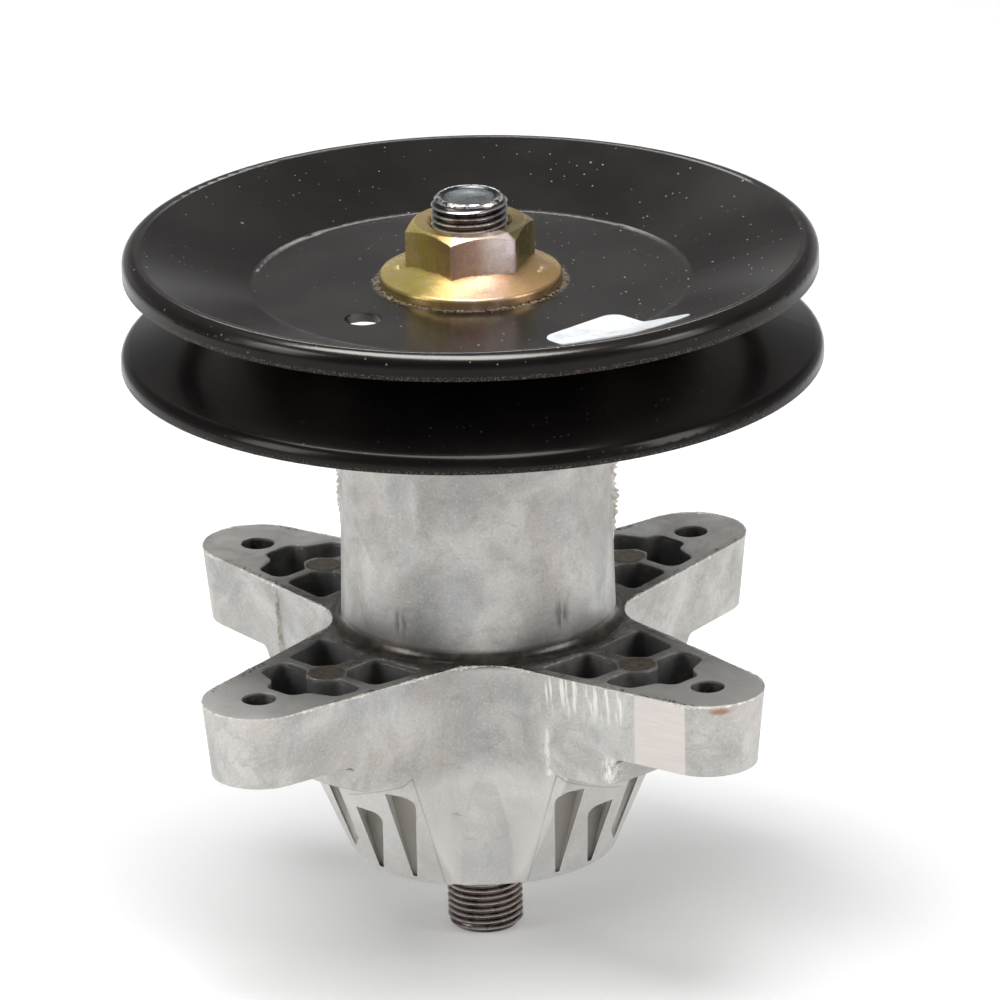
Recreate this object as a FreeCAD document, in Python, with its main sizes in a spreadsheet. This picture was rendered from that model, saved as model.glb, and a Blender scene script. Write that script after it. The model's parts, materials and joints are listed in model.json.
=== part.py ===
"""Mower deck spindle: a four-armed cast housing, a shaft on two ball bearings and a pressed belt pulley.

The origin is the middle of the star flange's top face, which bolts up against the deck.
+Z runs up the shaft to the pulley, and the four arms lie on the diagonals. Sizes are in millimetres.
"""
import FreeCAD, Part
import math
import os
import re

import Sketcher
from FreeCAD import Placement, Rotation, Vector

SIZES = [
    # star flange of the housing
    ("hole_spacing", 92.28, "bolt holes, side of their square"),
    ("bolt_hole_d", 7.14, "bolt hole in each arm"),
    ("tip_radius", 11.8, "rounding of an arm's end, about its bolt hole"),
    ("valley_reach", 30.6, "axis to the bottom of the hollow between two arms"),
    ("valley_radius", 12.5, "rounding of that hollow"),
    ("wall_draft", 6.0, "lean of the outer walls, degrees"),
    ("tip_depth", 16.0, "depth of an arm's end"),
    ("block_depth", 23.0, "depth of an arm near the hub"),
    ("block_reach", 49.5, "axis to the end of the deep part of an arm"),
    ("step_run", 3.0, "run of the step under an arm"),
    ("step_round", 1.5, "rounding of that step"),
    # cored pockets in the top of each arm
    ("side_pocket_depth", 15.0, "depth of the two pockets beside the neck"),
    ("tip_pocket_depth", 10.5, "depth of the pocket towards the bolt hole"),
    ("spine_width", 3.2, "rib along the arm between the side pockets"),
    ("pocket_wall", 2.6, "wall between a pocket and the arm's side"),
    ("pocket_start", 32.6, "axis to the side pockets"),
    ("pocket_sweep", 1.0, "outer corner of a side pocket, nearer to the axis by this"),
    ("pocket_rib_round", 1.5, "rounding of the pockets' corners at the ribs"),
    ("pocket_wall_round", 2.6, "rounding of the pockets' corners at the arm's sides"),
    ("cross_rib", 2.2, "rib across the arm between the pockets"),
    ("pad_reach", 45.4, "axis to the round ejector pad"),
    ("pad_d", 7.6, "round ejector pad between the pockets"),
    ("pad_rim", 0.7, "wall left round that pad"),
    ("tip_pocket_end", 59.6, "axis to the far end of the tip pocket"),
    ("tip_lobe_width", 7.6, "width of the tip pocket's end lobe"),
    ("tip_lobe_start", 56.1, "axis to where that lobe begins"),
    ("tip_lobe_flare", 1.4, "lobe wider there, on each side"),
    ("tip_shoulder", 53.8, "axis to the shoulders of the tip pocket"),
    # lower hub of the housing
    ("housing_depth", 50.0, "flange top to the hub's lower face"),
    ("cone_top_r", 40.9, "hub cone where it meets the arms"),
    ("cone_bottom_r", 28.2, "hub cone at the lower face"),
    ("tube_top_r", 28.3, "hub tube at the flange"),
    ("tube_bottom_r", 27.7, "hub tube at the lower face"),
    ("window_roof", 26.8, "flange top to the roof of the near and far windows"),
    ("mid_window_roof", 32.8, "flange top to the roof of the middle window"),
    ("window_foot", 48.8, "flange top to the foot of the near and middle windows"),
    ("window_toe", 0.8, "width of those windows at the foot"),
    ("window_back", 13.0, "middle plane to the back wall of the windows"),
    ("near_window_in", 14.4, "axis to the near window, sideways"),
    ("near_window_width", 6.3, "near window at its roof"),
    ("near_window_round", 3.4, "rounding of its inner corner"),
    ("mid_window_in", 21.3, "axis to the middle window, sideways"),
    ("mid_window_width", 5.4, "middle window at its roof"),
    ("mid_window_round", 2.6, "rounding of its inner corner"),
    ("far_window_in", 31.0, "axis to the far window at its roof, sideways"),
    ("far_window_width", 2.2, "far window at its roof"),
    ("far_window_turn", 26.4, "axis to the lower end of its inner side"),
    ("far_window_turn_depth", 42.5, "flange top to that end"),
    ("far_window_toe", 27.0, "axis to the foot of the far window"),
    ("far_window_foot", 46.5, "flange top to that foot"),
    # neck of the housing
    ("neck_base_r", 28.8, "neck at the flange"),
    ("neck_top_r", 27.7, "neck at its top"),
    ("neck_height", 57.5, "flange top to the neck's top"),
    ("neck_fillet", 2.4, "fillet at the neck's foot"),
    ("neck_edge", 1.0, "rounding of the neck's top edge"),
    ("core_r", 17.6, "bore between the bearing seats"),
    # bearings
    ("bearing_d", 40.0, "bearing, outside"),
    ("bearing_bore", 17.0, "bearing bore and shaft"),
    ("bearing_width", 12.0, "bearing, along the shaft"),
    ("bearing_recess", 2.0, "bearing below the housing's end face"),
    ("pitch_d", 28.5, "circle of the balls' centres"),
    ("ball_d", 6.75, "ball"),
    ("ball_count", 8, "balls in a bearing"),
    ("ball_clearance", 0.1, "ball to race groove and to cage pocket"),
    ("inner_land_d", 23.2, "inner race beside its groove"),
    ("outer_land_d", 34.0, "outer race beside its groove"),
    ("race_edge", 0.6, "chamfer of the races"),
    ("cage_band", 2.0, "cage strip, across"),
    ("cage_sheet", 0.8, "sheet of a cage strip"),
    ("rivet_d", 1.0, "cage rivet"),
    ("rivet_head_d", 1.7, "head of that rivet"),
    ("rivet_head", 0.4, "thickness of that head"),
    ("seal_thickness", 1.2, "bearing seal"),
    ("seal_recess", 0.5, "seal below the race's face"),
    ("seal_gap", 0.15, "seal lip to inner race"),
    # shaft and spacers
    ("fit_gap", 0.015, "radial room of a bore on its shaft or seat"),
    ("spacer_d", 23.0, "tube between the inner races"),
    ("pulley_spacer_d", 26.0, "tube between the upper bearing and the pulley"),
    ("thread_d", 15.875, "threads at the shaft's ends"),
    ("shaft_top", 92.5, "flange top to the shaft's upper end"),
    ("shaft_bottom", 69.3, "flange top to the shaft's lower end"),
    ("end_chamfer", 1.2, "chamfer of the shaft's ends"),
    ("center_mark_d", 6.0, "lathe centre in the shaft's lower end"),
    ("end_recess_d", 11.4, "turned recess in the shaft's upper end"),
    ("end_recess", 0.4, "depth of that recess"),
    ("collar_d", 23.0, "collar under the lower bearing"),
    ("collar_height", 2.5, "collar, along the shaft"),
    ("star_d", 25.4, "star blade seat across its points"),
    ("star_root_d", 20.6, "star blade seat across its notches"),
    ("star_height", 4.5, "star blade seat, along the shaft"),
    # pulley
    ("sheet", 2.0, "pressed sheet of the pulley"),
    ("pulley_seat", 73.8, "flange top to the pulley's upper face"),
    ("web_r", 45.5, "flat of the upper half"),
    ("upper_slope", 20.3, "upper flange against the flat, degrees"),
    ("upper_rim_d", 144.4, "upper flange"),
    ("upper_lip", 4.6, "turned lip of the upper flange"),
    ("lower_open_r", 38.0, "opening in the lower half"),
    ("lower_web_r", 45.0, "flat of the lower half"),
    ("lower_slope", 21.8, "lower flange against the flat, degrees"),
    ("lower_rim_d", 146.0, "lower flange"),
    ("lower_lip", 3.2, "turned lip of the lower flange"),
    ("bend_r", 4.0, "inside of the bends beside the flats"),
    ("lip_bend_r", 0.9, "inside of the lips' bends"),
    ("web_hole_d", 7.8, "hole in the upper half's flat"),
    ("web_hole_reach", 31.8, "axis to that hole"),
    ("web_hole_turn", 224.8, "direction of that hole, degrees from +X"),
    # flange nut
    ("nut_flats", 23.81, "nut across its flats"),
    ("nut_top", 13.2, "seat to the top of the nut"),
    ("nut_flange_d", 38.0, "nut's flange"),
    ("nut_rim", 2.0, "edge of that flange"),
    ("nut_rim_round", 0.8, "rounding of that edge"),
    ("nut_cone_top", 5.0, "seat to the top of the flange's cone"),
    ("nut_cone_d", 24.4, "top of that cone"),
    ("nut_turn", 12.3, "turn of a nut's corner from +X, degrees"),
    ("nut_chamfer_d", 23.0, "flat ring on top of the nut"),
    ("nut_chamfer", 30.0, "chamfer of the nut's corners, degrees"),
    ("nut_mouth", 1.0, "countersink of the nut's bore"),
]

ARMS = 4
STAR_POINTS = 6
HEX = 6
DIAGONAL = 45.0
FULL_TURN = 360.0
HALF_HEX = FULL_TURN / HEX / 2
HALF_STEP = 0.5

doc = FreeCAD.newDocument("mower_deck_spindle")
sheet = doc.addObject("Spreadsheet::Sheet", "Sizes")
for row, (alias, value, note) in enumerate(SIZES, start=1):
    sheet.set(f"A{row}", alias)
    sheet.set(f"B{row}", str(value))
    sheet.setAlias(f"B{row}", alias)
    sheet.set(f"C{row}", note)
doc.recompute()
ALIASES = {alias for alias, value, note in SIZES}
volumes = {}


def bound(text):
    """The expression with every size in it read from the sheet."""
    def cell(word):
        name = word.group(0)
        return f"Sizes.{name}" if name in ALIASES else name
    return re.sub(r"[A-Za-z_]\w*", cell, str(text))


def measure(text):
    """The number that an expression gives now."""
    return float(sheet.evalExpression(bound(text)))


def bind(obj, target, text):
    """Set a property, or one of a sketch's constraints, from an expression."""
    obj.setExpression(target, bound(text))


def new_body(name):
    body = doc.addObject("PartDesign::Body", name)
    body.Label = name
    return body


def origin_part(body, role):
    return next(part for part in body.Origin.OriginFeatures if part.Role == role)


def new_sketch(body, name, plane, lift=None, turn=None):
    """A sketch on one of the body's own planes, lifted off it and turned about its normal."""
    sketch = body.newObject("Sketcher::SketchObject", name)
    sketch.AttachmentSupport = [(origin_part(body, plane), "")]
    sketch.MapMode = "FlatFace"
    if turn is not None:
        bind(sketch, "AttachmentOffset.Rotation.Angle", turn)
        sketch.AttachmentOffset = Placement(Vector(), Rotation(Vector(0, 0, 1), measure(turn)))
    if lift is not None:
        bind(sketch, "AttachmentOffset.Base.z", lift)
    return sketch


def dimension(sketch, kind, elements, text):
    """Add a dimension that follows an expression."""
    index = sketch.addConstraint(Sketcher.Constraint(kind, *elements, measure(text)))
    bind(sketch, f"Constraints[{index}]", text)


def place_point(sketch, geometry, end, x, y):
    """Tie a point's two coordinates to expressions, or to an axis where one is zero."""
    for kind, axis, text in (("DistanceX", -2, x), ("DistanceY", -1, y)):
        if str(text) == "0":
            sketch.addConstraint(Sketcher.Constraint("PointOnObject", geometry, end, axis))
        else:
            dimension(sketch, kind, (geometry, end), text)


def rounded_corner(before, corner, after, radius):
    """Start, middle, end and centre of the arc that rounds a corner."""
    back = (before - corner).normalize()
    ahead = (after - corner).normalize()
    half = back.getAngle(ahead) / 2
    reach = radius / math.tan(half)
    middle_line = (back + ahead).normalize()
    centre = corner + middle_line * (radius / math.sin(half))
    return corner + back * reach, centre - middle_line * radius, corner + ahead * reach


def draw_outline(sketch, corners):
    """A closed outline through corners (x, y) or (x, y, rounding), all of them expressions."""
    points = [Vector(measure(c[0]), measure(c[1]), 0) for c in corners]
    count = len(points)
    starts, ends, arcs = list(points), list(points), {}
    for i, corner in enumerate(corners):
        if len(corner) == 3:
            arc = rounded_corner(points[i - 1], points[i], points[(i + 1) % count], measure(corner[2]))
            ends[i], starts[i] = arc[0], arc[2]
            arcs[i] = arc
    lines = [sketch.addGeometry(Part.LineSegment(starts[i], ends[(i + 1) % count])) for i in range(count)]
    for i, corner in enumerate(corners):
        before, after = lines[i - 1], lines[i]
        if i not in arcs:
            sketch.addConstraint(Sketcher.Constraint("Coincident", before, 2, after, 1))
            place_point(sketch, after, 1, corner[0], corner[1])
            continue
        arc = sketch.addGeometry(Part.Arc(*arcs[i]))
        turn_sign = (ends[i] - points[i]).cross(starts[i] - points[i]).z
        first, last = (1, 2) if turn_sign < 0 else (2, 1)
        sketch.addConstraint(Sketcher.Constraint("Tangent", before, 2, arc, first))
        sketch.addConstraint(Sketcher.Constraint("Tangent", after, 1, arc, last))
        point = sketch.addGeometry(Part.Point(points[i]), True)
        sketch.addConstraint(Sketcher.Constraint("PointOnObject", point, 1, before))
        sketch.addConstraint(Sketcher.Constraint("PointOnObject", point, 1, after))
        place_point(sketch, point, 1, corner[0], corner[1])
        dimension(sketch, "Radius", (arc,), corner[2])


def draw_circle(sketch, x, y, diameter):
    centre = Vector(measure(x), measure(y), 0)
    circle = sketch.addGeometry(Part.Circle(centre, Vector(0, 0, 1), measure(diameter) / 2))
    place_point(sketch, circle, 3, x, y)
    dimension(sketch, "Diameter", (circle,), diameter)


def finished(body, feature, adds):
    """Recompute and make sure that a feature adds or takes away material."""
    before = volumes.get(body.Name, 0.0)
    body.Tip = feature
    doc.recompute()
    change = feature.Shape.Volume - before
    if change == 0 or (change > 0) != adds:
        raise RuntimeError(f"{feature.Name} changes the volume by {change:.3f}")
    volumes[body.Name] = feature.Shape.Volume
    return feature


def extrude(body, name, sketch, length, cut=False, up=True, draft=None):
    """A pad, or a pocket, of a sketch along its normal or against it."""
    kind = "Pocket" if cut else "Pad"
    feature = body.newObject(f"PartDesign::{kind}", name)
    feature.Profile = sketch
    feature.Reversed = up if cut else not up
    bind(feature, "Length", length)
    if draft is not None:
        bind(feature, "TaperAngle", draft)
    return finished(body, feature, not cut)


def turn(body, name, corners, cut=False):
    """A turned form, or a turned cut, from an outline of (radius, height) corners."""
    sketch = new_sketch(body, f"{name}_profile", "XZ_Plane")
    draw_outline(sketch, corners)
    doc.recompute()
    feature = body.newObject(f"PartDesign::{'Groove' if cut else 'Revolution'}", name)
    feature.Profile = sketch
    feature.ReferenceAxis = (sketch, ["V_Axis"])
    feature.Angle = FULL_TURN
    return finished(body, feature, not cut)


def repeat_round(body, name, features, count, adds=False):
    """Repeat features evenly about the shaft's axis."""
    pattern = body.newObject("PartDesign::PolarPattern", name)
    pattern.Originals = features
    pattern.Axis = (origin_part(body, "Z_Axis"), [""])
    pattern.Angle = FULL_TURN
    pattern.Occurrences = count
    return finished(body, pattern, adds)


def tube(name, bore, diameter, low, high, edge=None):
    """A turned ring between two heights, with its outer and inner edges broken where asked."""
    body = new_body(name)
    ring = [(f"{bore} / 2", low), (f"{diameter} / 2", low), (f"{diameter} / 2", high), (f"{bore} / 2", high)]
    plain = turn(body, f"{name}_ring", ring)
    if edge:
        circles = [f"Edge{i}" for i, e in enumerate(plain.Shape.Edges, 1) if len(e.Vertexes) == 1]
        bevel = body.newObject("PartDesign::Chamfer", f"{name}_edges")
        bevel.Base = (plain, circles)
        bind(bevel, "Size", edge)
        finished(body, bevel, False)
    return body


def star_outline(sketch):
    """The flange's outline: rounded arm ends, rounded hollows and straight sides tangent to both."""
    half = measure("hole_spacing / 2")
    tip_r, valley_r = measure("tip_radius"), measure("valley_radius")
    valley_centre = measure("valley_reach + valley_radius")
    apart = math.hypot(half, half - valley_centre)
    # side from the hollow on +X to the arm on +X+Y, as an inner tangent of the two circles
    centre_line = math.atan2(half, half - valley_centre)
    swing = math.acos((tip_r + valley_r) / apart)
    normal = centre_line + swing
    unit = Vector(math.cos(normal), math.sin(normal), 0)
    hollow = Vector(valley_centre, 0, 0)
    tip = Vector(half, half, 0)
    leaves, meets = hollow + unit * valley_r, tip - unit * tip_r
    mirrored = [Vector(p.y, p.x, 0) for p in (leaves, meets)]
    tip_far = tip + Vector(1, 1, 0).normalize() * tip_r
    hollow_near = hollow - Vector(valley_r, 0, 0)
    quarter = []
    for arm in range(ARMS):
        spin = Rotation(Vector(0, 0, 1), arm * FULL_TURN / ARMS)
        below = Vector(leaves.x, -leaves.y, 0)
        valley = Part.Arc(*[spin.multVec(p) for p in (below, hollow_near, leaves)])
        rise = Part.LineSegment(spin.multVec(leaves), spin.multVec(meets))
        end = Part.Arc(*[spin.multVec(p) for p in (meets, tip_far, mirrored[1])])
        fall = Part.LineSegment(spin.multVec(mirrored[1]), spin.multVec(mirrored[0]))
        quarter.append([sketch.addGeometry(g) for g in (valley, rise, end, fall)])
    signs = [(1, 1), (-1, 1), (-1, -1), (1, -1)]
    hollow_centres = [("{}", "0"), ("0", "{}"), ("-({})", "0"), ("0", "-({})")]
    for arm, (valley, rise, end, fall) in enumerate(quarter):
        next_valley = quarter[(arm + 1) % ARMS][0]
        sketch.addConstraint(Sketcher.Constraint("Tangent", valley, 1, rise, 1))
        sketch.addConstraint(Sketcher.Constraint("Tangent", rise, 2, end, 1))
        sketch.addConstraint(Sketcher.Constraint("Tangent", end, 2, fall, 1))
        sketch.addConstraint(Sketcher.Constraint("Tangent", fall, 2, next_valley, 2))
        side_x, side_y = signs[arm]
        place_point(sketch, end, 3, f"{side_x} * hole_spacing / 2", f"{side_y} * hole_spacing / 2")
        place_x, place_y = hollow_centres[arm]
        reach = "valley_reach + valley_radius"
        place_point(sketch, valley, 3, place_x.format(reach), place_y.format(reach))
        dimension(sketch, "Radius", (end,), "tip_radius")
        dimension(sketch, "Radius", (valley,), "valley_radius")


def side_at(along):
    """Half the width of a pocket beside the arm's wall, at a distance along the arm.

    The wall is the inner tangent of the hollow's circle and the circle round the bolt hole.
    """
    half = "hole_spacing / 2"
    across = f"({half} - valley_reach - valley_radius)"
    centres = f"sqrt(({half})^2 + {across}^2)"
    normal = f"(atan2({half}; {across}) + acos((tip_radius + valley_radius) / {centres}) - {DIAGONAL} deg)"
    past_hole = f"(({along}) - hole_spacing / sqrt(2))"
    return f"(tip_radius - pocket_wall + {past_hole} * cos({normal})) / sin({normal})"


def make_housing():
    """The cast housing: drafted star, hub cone with cored windows, tube, neck, bores and pockets."""
    body = new_body("housing")
    star = new_sketch(body, "star_sketch", "XY_Plane")
    star_outline(star)
    doc.recompute()
    extrude(body, "star", star, "housing_depth", up=False, draft="-wall_draft")
    # the neck's fillet ends where it meets the star's hollows
    extrude(body, "neck_foot", star, "neck_fillet")
    far = "hole_spacing"
    low = "-housing_depth"
    lean = "(neck_base_r - neck_top_r) / neck_height"
    turn(body, "neck_foot_fillet", [
        ("neck_base_r", "0", "neck_fillet"), (far, "0"), (far, "2 * neck_fillet"),
        (f"neck_base_r - 2 * neck_fillet * {lean}", "2 * neck_fillet")], cut=True)
    turn(body, "underside", [
        ("cone_top_r", "-block_depth"), ("block_reach", "-block_depth", "step_round"),
        ("block_reach + step_run", "-tip_depth", "step_round"), (far, "-tip_depth"),
        (far, low), ("cone_bottom_r", low)], cut=True)
    cut_windows(body)
    turn(body, "neck", [
        ("0", low), ("tube_bottom_r", low), ("tube_top_r", "0"), ("neck_base_r", "0"),
        ("neck_top_r", "neck_height", "neck_edge"), ("0", "neck_height")])
    cut_pockets(body)
    holes = new_sketch(body, "bolt_hole_sketch", "XY_Plane")
    draw_circle(holes, "hole_spacing / 2", "hole_spacing / 2", "bolt_hole_d")
    doc.recompute()
    hole = extrude(body, "bolt_hole", holes, "block_depth", cut=True, up=False)
    repeat_round(body, "bolt_holes", [hole], ARMS)
    seat_r = "bearing_d / 2 + fit_gap"
    seat = "bearing_recess + bearing_width"
    turn(body, "bores", [
        ("0", low), (seat_r, low), (seat_r, f"{low} + {seat}"),
        ("core_r", f"{low} + {seat}"), ("core_r", f"neck_height - ({seat})"),
        (seat_r, f"neck_height - ({seat})"), (seat_r, "neck_height"), ("0", "neck_height")], cut=True)
    return body


def cut_windows(body):
    """Sail-shaped windows under each arm, three beside each hollow, cored from the front and the rear."""
    roof, mid_roof, foot = "-window_roof", "-mid_window_roof", "-window_foot"
    near_in, mid_in, far_in = "near_window_in", "mid_window_in", "far_window_in"
    windows = [
        [(near_in, roof, "near_window_round"), (f"{near_in} + near_window_width", roof),
         (f"{near_in} + window_toe", foot), (near_in, foot)],
        [(mid_in, mid_roof, "mid_window_round"), (f"{mid_in} + mid_window_width", mid_roof),
         (f"{mid_in} + window_toe", foot), (mid_in, foot)],
        [(far_in, roof), (f"{far_in} + far_window_width", roof), ("far_window_toe", "-far_window_foot"),
         ("far_window_turn", "-far_window_turn_depth")]]
    for face, back, ahead in (("front", "window_back", True), ("rear", "-window_back", False)):
        sketch = new_sketch(body, f"{face}_window_sketch", "XZ_Plane", back)
        for side in ("", "-"):
            for window in windows:
                draw_outline(sketch, [(f"{side}({across})", *rest) for across, *rest in window])
        doc.recompute()
        extrude(body, f"{face}_windows", sketch, "hole_spacing", cut=True, up=ahead)


def cut_pockets(body):
    """Three cored pockets round an ejector pad in the top of each arm."""
    rib = "(cross_rib / 2)"
    spine = "spine_width / 2"
    pad_r = "(pad_d / 2 + pad_rim)"
    near = f"pad_reach - {rib}"
    past = f"pad_reach + {rib}"
    start = "pocket_start - pocket_sweep"
    rib_round, wall_round = "pocket_rib_round", "pocket_wall_round"
    sides = new_sketch(body, "side_pocket_sketch", "XY_Plane", turn=DIAGONAL)
    for sign in ("", "-"):
        draw_outline(sides, [
            ("pocket_start", f"{sign}({spine})", rib_round),
            (f"pad_reach - {pad_r}", f"{sign}({spine})", rib_round),
            (near, f"{sign}{pad_r}", rib_round),
            (near, f"{sign}({side_at(near)})", wall_round),
            (start, f"{sign}({side_at(start)})", rib_round)])
    doc.recompute()
    side = extrude(body, "side_pockets", sides, "side_pocket_depth", cut=True, up=False)
    tip = new_sketch(body, "tip_pocket_sketch", "XY_Plane", turn=DIAGONAL)
    lobe = "tip_lobe_width / 2"
    half = [
        (f"pad_reach + {pad_r}", spine, rib_round),
        (past, pad_r, rib_round),
        (past, side_at(past), wall_round),
        ("tip_shoulder", side_at("tip_shoulder"), wall_round),
        ("tip_lobe_start", f"{lobe} + tip_lobe_flare", wall_round),
        ("tip_pocket_end", lobe, wall_round)]
    mirrored = [(along, f"-({across})", rounding) for along, across, rounding in reversed(half)]
    draw_outline(tip, half + mirrored)
    doc.recompute()
    end = extrude(body, "tip_pocket", tip, "tip_pocket_depth", cut=True, up=False)
    repeat_round(body, "pockets", [side, end], ARMS)


def make_shaft():
    """The shaft: threaded ends at full diameter, bearing journal, collar and star blade seat."""
    body = new_body("shaft")
    race_low = "-housing_depth + bearing_recess"
    collar_low = f"{race_low} - collar_height"
    star_low = f"{collar_low} - star_height"
    journal_top = "pulley_seat - sheet / 2"
    thread_r, journal_r = "thread_d / 2", "bearing_bore / 2"
    end_r = "thread_d / 2 - end_chamfer"
    mark = "center_mark_d / 2"
    recess_r, recess_floor = "end_recess_d / 2", "shaft_top - end_recess"
    turn(body, "shaft_form", [
        ("0", f"-shaft_bottom + {mark}"), (mark, "-shaft_bottom"), (end_r, "-shaft_bottom"),
        (thread_r, "-shaft_bottom + end_chamfer"), (thread_r, collar_low), ("collar_d / 2", collar_low),
        ("collar_d / 2", race_low), (journal_r, race_low), (journal_r, journal_top),
        (thread_r, journal_top), (thread_r, "shaft_top - end_chamfer"), (end_r, "shaft_top"),
        (recess_r, "shaft_top"), (recess_r, recess_floor), ("0", recess_floor)])
    star = new_sketch(body, "star_seat_sketch", "XY_Plane", star_low)
    points = []
    for step in range(2 * STAR_POINTS):
        across = "star_d" if step % 2 == 0 else "star_root_d"
        angle = step * FULL_TURN / (2 * STAR_POINTS)
        points.append((f"{across} / 2 * cos({angle})", f"{across} / 2 * sin({angle})"))
    draw_outline(star, points)
    doc.recompute()
    extrude(body, "star_seat", star, "star_height")
    return body


def make_bearing(name, low):
    """A sealed ball bearing whose lower face is at a height: races, seals, balls and a riveted cage."""
    high = f"{low} + bearing_width"
    middle = f"{low} + bearing_width / 2"
    pieces = []
    for side, bore, outside in (("inner", "(bearing_bore + 2 * fit_gap)", "inner_land_d"),
                                ("outer", "outer_land_d", "bearing_d")):
        race = tube(f"{name}_{side}_race", bore, outside, low, high, "race_edge")
        groove = new_sketch(race, f"{race.Name}_groove_sketch", "XZ_Plane")
        draw_circle(groove, "pitch_d / 2", middle, "ball_d + 2 * ball_clearance")
        doc.recompute()
        track = race.newObject("PartDesign::Groove", f"{race.Name}_groove")
        track.Profile = groove
        track.ReferenceAxis = (groove, ["V_Axis"])
        track.Angle = FULL_TURN
        finished(race, track, False)
        pieces.append(race)
    seal_faces = {"upper": f"{high} - seal_recess - seal_thickness", "lower": f"{low} + seal_recess"}
    for side, face in seal_faces.items():
        pieces.append(tube(f"{name}_{side}_seal", "(inner_land_d + 2 * seal_gap)",
                           "(outer_land_d - 2 * fit_gap)", face, f"{face} + seal_thickness"))
        pieces.append(make_cage_half(f"{name}_{side}_cage_half", middle, side == "upper"))
    pieces.append(make_balls(f"{name}_balls", middle))
    pieces.append(make_rivets(f"{name}_cage_rivets", middle))
    return pieces


def place_round(obj, step, height):
    """Put an object on the pitch circle, a number of ball spacings round from +X."""
    angle = f"{step} * {FULL_TURN} / ball_count"
    bind(obj, "Placement.Base.x", f"pitch_d / 2 * cos({angle})")
    bind(obj, "Placement.Base.y", f"pitch_d / 2 * sin({angle})")
    bind(obj, "Placement.Base.z", height)
    return obj


def group_of(name, members):
    group = doc.addObject("Part::Compound", name)
    group.Links = members
    group.Label = name
    return group


def make_balls(name, height):
    """Balls spaced evenly round the pitch circle, as one group of solids."""
    balls = []
    for i in range(int(measure("ball_count"))):
        ball = doc.addObject("Part::Sphere", f"{name}_{i}")
        bind(ball, "Radius", "ball_d / 2")
        balls.append(place_round(ball, i, height))
    return group_of(name, balls)


def make_cage_half(name, middle, upper):
    """One pressed strip of a cage: a flat ring that bulges round each ball, with rivet holes between."""
    body = new_body(name)
    count = int(measure("ball_count"))
    inner, outer = "(pitch_d - cage_band)", "(pitch_d + cage_band)"
    away = "" if upper else "-"
    face = f"{middle} + {away}cage_sheet"
    turn(body, f"{name}_ring", [
        (f"{inner} / 2", middle), (f"{outer} / 2", middle), (f"{outer} / 2", face), (f"{inner} / 2", face)])
    pocket_d = "ball_d + 2 * ball_clearance"
    bulge = new_sketch(body, f"{name}_bulge_sketch", "YZ_Plane", f"{inner} / 2")
    draw_circle(bulge, "0", middle, f"{pocket_d} + 2 * cage_sheet")
    doc.recompute()
    bulges = [extrude(body, f"{name}_bulge", bulge, "cage_band")]
    repeat_round(body, f"{name}_bulges", bulges, count, adds=True)
    hollow = new_sketch(body, f"{name}_hollow_sketch", "YZ_Plane")
    draw_circle(hollow, "0", middle, pocket_d)
    doc.recompute()
    hollows = [extrude(body, f"{name}_hollow", hollow, "pitch_d", cut=True)]
    repeat_round(body, f"{name}_hollows", hollows, count)
    far, past = "pitch_d", f"{middle} - {away}ball_d"
    turn(body, f"{name}_parting", [("0", middle), (far, middle), (far, past), ("0", past)], cut=True)
    rivet = new_sketch(body, f"{name}_rivet_hole_sketch", "XY_Plane", middle)
    angle = f"({FULL_TURN} / ball_count / 2)"
    draw_circle(rivet, f"pitch_d / 2 * cos{angle}", f"pitch_d / 2 * sin{angle}", "rivet_d + 2 * fit_gap")
    doc.recompute()
    holes = [extrude(body, f"{name}_rivet_hole", rivet, "cage_sheet", cut=True, up=upper)]
    repeat_round(body, f"{name}_rivet_holes", holes, count)
    return body


def make_rivets(name, middle):
    """The rivets between the balls that hold a cage's two strips together, as one group of solids."""
    head_low = f"{middle} - cage_sheet - rivet_head"
    stages = [("shank", "rivet_d", head_low, "2 * (cage_sheet + rivet_head)"),
              ("lower_head", "rivet_head_d", head_low, "rivet_head"),
              ("upper_head", "rivet_head_d", f"{middle} + cage_sheet", "rivet_head")]
    rivets = []
    for i in range(int(measure("ball_count"))):
        cylinders = []
        for stage, diameter, low, height in stages:
            cylinder = doc.addObject("Part::Cylinder", f"{name}_{stage}_{i}")
            bind(cylinder, "Radius", f"{diameter} / 2")
            bind(cylinder, "Height", height)
            cylinders.append(place_round(cylinder, i + HALF_STEP, low))
        rivet = doc.addObject("Part::MultiFuse", f"{name}_{i}")
        rivet.Shapes = cylinders
        rivet.Refine = True
        rivets.append(rivet)
    return group_of(name, rivets)


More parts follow.
